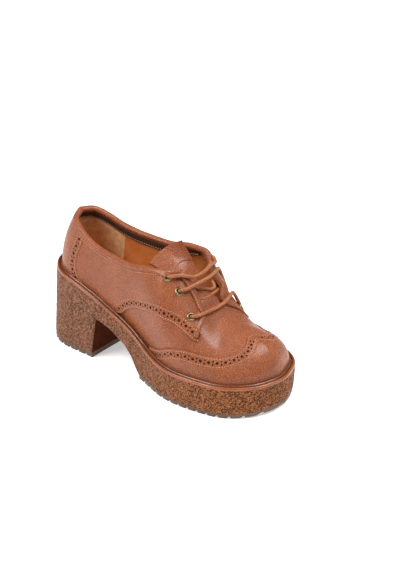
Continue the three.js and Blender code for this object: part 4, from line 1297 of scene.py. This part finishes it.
def binding():
    j, share = binding_path()
    station = station_of(j)
    edge = skin(j, share)
    along = unit(np.gradient(edge, axis=0))
    down = unit(np.cross(skin_normal(j, np.minimum(share, 0.98)), along))
    normal = np.cross(along, down)
    arc = lengths_along(edge)
    from_tip = np.minimum(arc, arc[-1] - arc)
    facing = smooth(6.0, 7.3, station)[:, None]
    root = (1 - smooth(*ROOT_REACH, from_tip))[:, None]
    fade = ((1 - smooth(0, TIP_FADE, from_tip)) * (arc > arc[-1] / 2))[:, None]
    band = catmull(BAND_SECTION, 2)
    angles = np.radians(np.linspace(-36, 216, len(band)))
    roll_out = (OVERLAY - WALL) / 2 + np.cos(angles) * BINDING_WIDTH / 2
    roll_drop = (0.42 - 0.42 * np.sin(angles)) * np.where(np.sin(angles) < 0, 1.25, 1) * BINDING_HEIGHT - 0.3
    out = mix(roll_out, mix(band[:, 0], np.maximum(band[:, 0], -1.5), root), facing) - TIP_SINK * fade
    drop = mix(roll_drop, band[:, 1] * mix(1, ROOT_WIDTH, root), facing)
    points = edge[:, None] + normal[:, None] * out[..., None] + down[:, None] * drop[..., None]
    core = edge + normal * (OVERLAY - WALL) / 2 + down * 2.0
    swell = PLEAT * ripple(points, PLEAT_SIZE, 9.0)
    points = points + unit(points - core[:, None]) * swell[..., None]
    hose("collar_binding_roll", points, leather, ["collar_binding"])
    depth = mix(ROLL_STITCH, BAND_STITCH * mix(1, ROOT_WIDTH, root), facing)[UNSEWN:-UNSEWN]
    lift = mix(OVERLAY + 0.12, BAND_TOP - TIP_SINK * fade, facing)[UNSEWN:-UNSEWN, 0]
    return thread_line(inset(j[UNSEWN:-UNSEWN], np.minimum(share[UNSEWN:-UNSEWN], RIDGE_SIDE), depth), lift)


# Tongue: one with the vamp at its root, sunk under the facings, with a loose top flap
FLAP_START = 0.6
FLAP_SEAM = 0.72
TONGUE_SINK = 2.8
TONGUE_ROOT = THROAT_ROOT + 0.35
TONGUE_MARGIN = 0.035
TONGUE_TOP_SHARE = 0.80
TONGUE = 2.0
FLAP_LATERAL = np.array([-1.30, -0.22, 0.43]) * FLAP_LENGTH
FLAP_MEDIAL = np.array([-0.70, -0.13, 1.07]) * FLAP_LENGTH
FLAP_SAG = 4.0


def tongue_point(a, b):
    """A point of the tongue's upper face: a runs from its root to its free end, b across."""
    climb = np.minimum(1, a / FLAP_START)
    station = mix(TONGUE_ROOT, RIDGE_START, climb)
    edge = throat_at(station) + mix(TONGUE_MARGIN, -0.06, smooth(0, 0.4, climb))
    inner = mix(throat_at(station) + TONGUE_MARGIN, TONGUE_TOP_SHARE, climb)
    share = mix(1, np.where(b > 0, inner, edge), abs(b))
    j = np.where(b > 0, LOOP - station, station)
    buried = 0.9 * np.maximum(smooth(TONGUE_ROOT - 0.22, TONGUE_ROOT, station), smooth(0.8, 1, abs(b)))
    above = 0.25 - buried * smooth(THROAT_ROOT - 0.25, THROAT_ROOT, station)
    sink = mix(-above, TONGUE_SINK, smooth(THROAT_ROOT - 0.05, 8.5, station))
    normal = last_normal(j, share)
    point = last_point(j, share) - normal * sink[..., None]
    flap = np.maximum(0, (a - FLAP_START) / (1 - FLAP_START))[..., None]
    way = mix(FLAP_LATERAL, FLAP_MEDIAL, ((b + 1) / 2)[..., None])
    way = way - np.array([0, 0, FLAP_SAG]) * (1 - b * b)[..., None]
    lap = 0.5 * smooth(FLAP_SEAM - 0.006, FLAP_SEAM + 0.006, a)
    grain = 0.25 * ripple(point, 9.0, 2.0) * flap[..., 0]
    return point + way * flap + normal * (lap + grain)[..., None], normal


def tongue():
    rows, columns = 130, 61
    a = np.linspace(0, 1, rows)[:, None] + np.zeros((1, columns))
    b = np.linspace(-1, 1, columns)[None, :] + np.zeros((rows, 1))
    top, normal = tongue_point(a, b)
    slab("tongue_leather", top, top - normal * TONGUE, leather, ["tongue"])


# Insole: a bed that curls up a little at its edge
INSOLE_GAP = 0.35
INSOLE_CURL = 1.2


def insole_bed():
    outer_j, inner_j, x = rim_pairs(1.6, [])
    inset_by = UPPER_INSET + WALL + INSOLE_GAP
    left = outline(outer_j, inset_by)
    right = outline(inner_j, inset_by)
    across = np.linspace(0, 1, 33)[None, :, None]
    plan = mix(left[:, None], right[:, None], across)
    edge = np.abs(across[..., 0] * 2 - 1)
    z = deck(plan[..., 0]) + SEAM + INSOLE + INSOLE_CURL * edge ** 6
    top = np.concatenate([plan, z[..., None]], -1)
    bottom = np.concatenate([plan, (deck(plan[..., 0]) + SEAM)[..., None]], -1)
    slab("insole_bed", top, bottom, lining, ["insole"])


# Inside: suede heel grip, and the dark facing under the collar with its stitches
GRIP_REACH = 3.05
GRIP = 0.7
FACING_REACH = 6.7
FACING = 1.0
FACING_TOP_DROP = 3.2
FACING_STITCH_DROP = 9.6
FACING_DROP = 11.5


def inner_sheet(name, reach, low, high, thickness, material):
    j = np.linspace(-reach, reach, int(reach * 40))[:, None] + np.zeros((1, 25))
    share = mix(low(j), high(j), np.linspace(0, 1, 25)[None, :])
    edge = np.minimum(reach - abs(j), 0.3) / 0.3
    sides = np.minimum(np.linspace(0, 1, 25), 1 - np.linspace(0, 1, 25))[None, :] * 12
    rise = thickness * np.clip(np.minimum(edge, sides), 0.25, 1)
    base, normal = skin(j, share), skin_normal(j, share)
    slab(name, base - normal * (WALL + rise)[..., None], base - normal * (WALL - 0.3), material)


def heel_grip():
    lowest = height_share(INSOLE + 1.5)
    under_facing = collar_share(9.0)
    inner_sheet("heel_grip", GRIP_REACH, lowest, under_facing, GRIP, suede)


def collar_facing():
    lower, upper_edge = collar_share(FACING_DROP), collar_share(FACING_TOP_DROP)
    inner_sheet("collar_facing", FACING_REACH, lower, upper_edge, FACING, dark_lining_and_painted_hole_shade)
    j = np.linspace(0.2 - FACING_REACH, FACING_REACH - 0.2, 500)
    row = collar_share(FACING_STITCH_DROP)
    sew("collar_facing_stitches", thread_line((j, row(j)), -WALL - 1.05), thread_white)


# Eyelets
EYELET_PROFILE = np.array([
    [2.10, -3.5], [2.12, 0.1], [2.25, 0.60], [2.55, 0.92], [3.00, 1.00], [3.50, 0.78],
    [3.85, 0.45], [4.05, 0.12], [4.08, -0.2],
])


def eyelet(name, j, share):
    seat, along, up, out = frame_at(j, share, OVERLAY)
    profile = catmull(EYELET_PROFILE, 4)
    angles = np.arange(41) * 2 * math.pi / 40
    ring = np.cos(angles)[:, None] * along + np.sin(angles)[:, None] * up
    points = seat + ring[:, None] * profile[None, :, :1] + out * profile[None, :, 1:]
    faces = grid_faces(41, len(profile))
    piece(name + "_ring", points.reshape(-1, 3), faces, [brass], [name], sharp=70)


# Lace: side, station, share and height over the skin, along the whole cord in millimetres
LACE_ROUTES = [
    [(-1, 7.22, 0.840, -4.5), (-1, 7.22, 0.842, 0.6), (-1, 7.32, 0.832, 3.2), (-1, 7.70, 0.795, 4.6),
     (-1, 8.10, 0.810, 5.0), (-1, 8.36, 0.910, 5.4), (1, 8.36, 0.930, 5.4), (1, 8.18, 0.830, 5.8),
     (1, 7.90, 0.750, 5.8), (1, 7.60, 0.720, 5.2), (1, 7.38, 0.745, 4.2), (1, 7.26, 0.780, 3.2),
     (1, 7.22, 0.796, 0.6), (1, 7.22, 0.798, -4.5)],
    [(-1, 8.02, 0.655, -4.5), (-1, 8.02, 0.657, 0.6), (-1, 8.08, 0.668, 3.0), (-1, 8.28, 0.720, 4.8),
     (-1, 8.46, 0.830, 5.4), (1, 8.58, 0.980, 5.0), (1, 8.48, 0.860, 5.4), (1, 8.22, 0.740, 5.8),
     (1, 7.95, 0.670, 5.4), (1, 7.66, 0.640, 4.6), (1, 7.56, 0.590, 3.6), (1, 7.76, 0.525, 3.2),
     (1, 7.97, 0.508, 2.2), (1, 8.02, 0.505, -0.5), (1, 8.02, 0.505, -4.5)],
    [(-1, 8.62, 0.560, -4.5), (-1, 8.62, 0.562, 0.6), (-1, 8.70, 0.580, 3.0), (-1, 8.90, 0.640, 4.4),
     (-1, 9.25, 0.800, 3.8), (1, 9.44, 0.970, 3.2), (1, 9.30, 0.820, 3.8), (1, 8.98, 0.690, 4.6),
     (1, 8.68, 0.600, 4.8), (1, 8.56, 0.540, 4.0), (1, 8.55, 0.470, 3.0), (1, 8.60, 0.430, 1.8),
     (1, 8.62, 0.422, -0.6), (1, 8.62, 0.422, -4.5)],
    [(1, 8.62, 0.422, -4.5), (1, 8.60, 0.520, -5.2), (1, 8.50, 0.640, -4.4), (1, 8.68, 0.720, -3.3),
     (1, 8.88, 0.830, -2.7), (1, 9.00, 0.960, -1.8), (-1, 8.96, 0.940, -1.2), (-1, 8.80, 0.840, -2.4),
     (-1, 8.40, 0.710, -4.6), (-1, 8.02, 0.655, -4.5)],
    [(1, 8.02, 0.505, -4.5), (1, 8.10, 0.600, -5.0), (1, 8.30, 0.680, -4.6), (1, 8.58, 0.730, -4.2),
     (1, 8.74, 0.830, -4.0), (1, 8.74, 0.950, -3.9), (-1, 8.62, 0.930, -2.0), (-1, 8.40, 0.850, -3.0),
     (-1, 7.80, 0.790, -4.8), (-1, 7.22, 0.840, -4.5)],
]
CORD_SIDES = 16
CORD_PITCH = 0.45
BRAID_TWIST = 1.9


def lace(name, route, replaced):
    """A round cord with a braided surface along a route."""
    path = [skin(on_side(station, side), share, height) for side, station, share, height in route]
    line = catmull(np.array(path), 24)
    arc = lengths_along(line)
    at = np.arange(0, arc[-1], CORD_PITCH)
    line = np.stack([np.interp(at, arc, line[:, k]) for k in range(3)], 1)
    along = unit(np.gradient(line, axis=0))
    angles = 2 * math.pi * np.arange(CORD_SIDES) / CORD_SIDES
    side = np.cross(along[0], [0.3, 0.2, 1.0])
    points = []
    for centre, way, twist in zip(line, along, at * BRAID_TWIST):
        side = unit(side - way * side.dot(way))
        other = np.cross(way, side)
        braid = abs(np.sin(3 * angles + twist)) + abs(np.sin(3 * angles - twist))
        size = (CORD / 2 * (0.95 + 0.05 * braid))[:, None]
        points.append(centre + (side * np.cos(angles)[:, None] + other * np.sin(angles)[:, None]) * size)
    hose(name, np.array(points), cord_brown, replaced, sharp=80)


make_camera()
make_stage()
sole_unit()
tread("outsole_tread", "outsole", TREAD_START * LENGTH, LENGTH - 0.4)
tread("heel_tread", "heel_top_piece", 0.4, BREAST_FOOT * LENGTH)
welt()
upper()
threads = wing_cap() + quarter(-1) + quarter(1) + counter() + binding()
sew("stitching", threads, thread)
brogue_hole_shade()
tongue()
insole_bed()
heel_grip()
collar_facing()
for eyelet_name, eyelet_j, eyelet_share in eyelet_places():
    eyelet(eyelet_name, eyelet_j, eyelet_share)
for k, route in enumerate(LACE_ROUTES):
    replaced = [f"lace_bar_{k + 1}"] if k < 3 else []
    lace(f"lace_{k + 1}", route, replaced)

bpy.context.scene.view_settings.view_transform = "Standard"
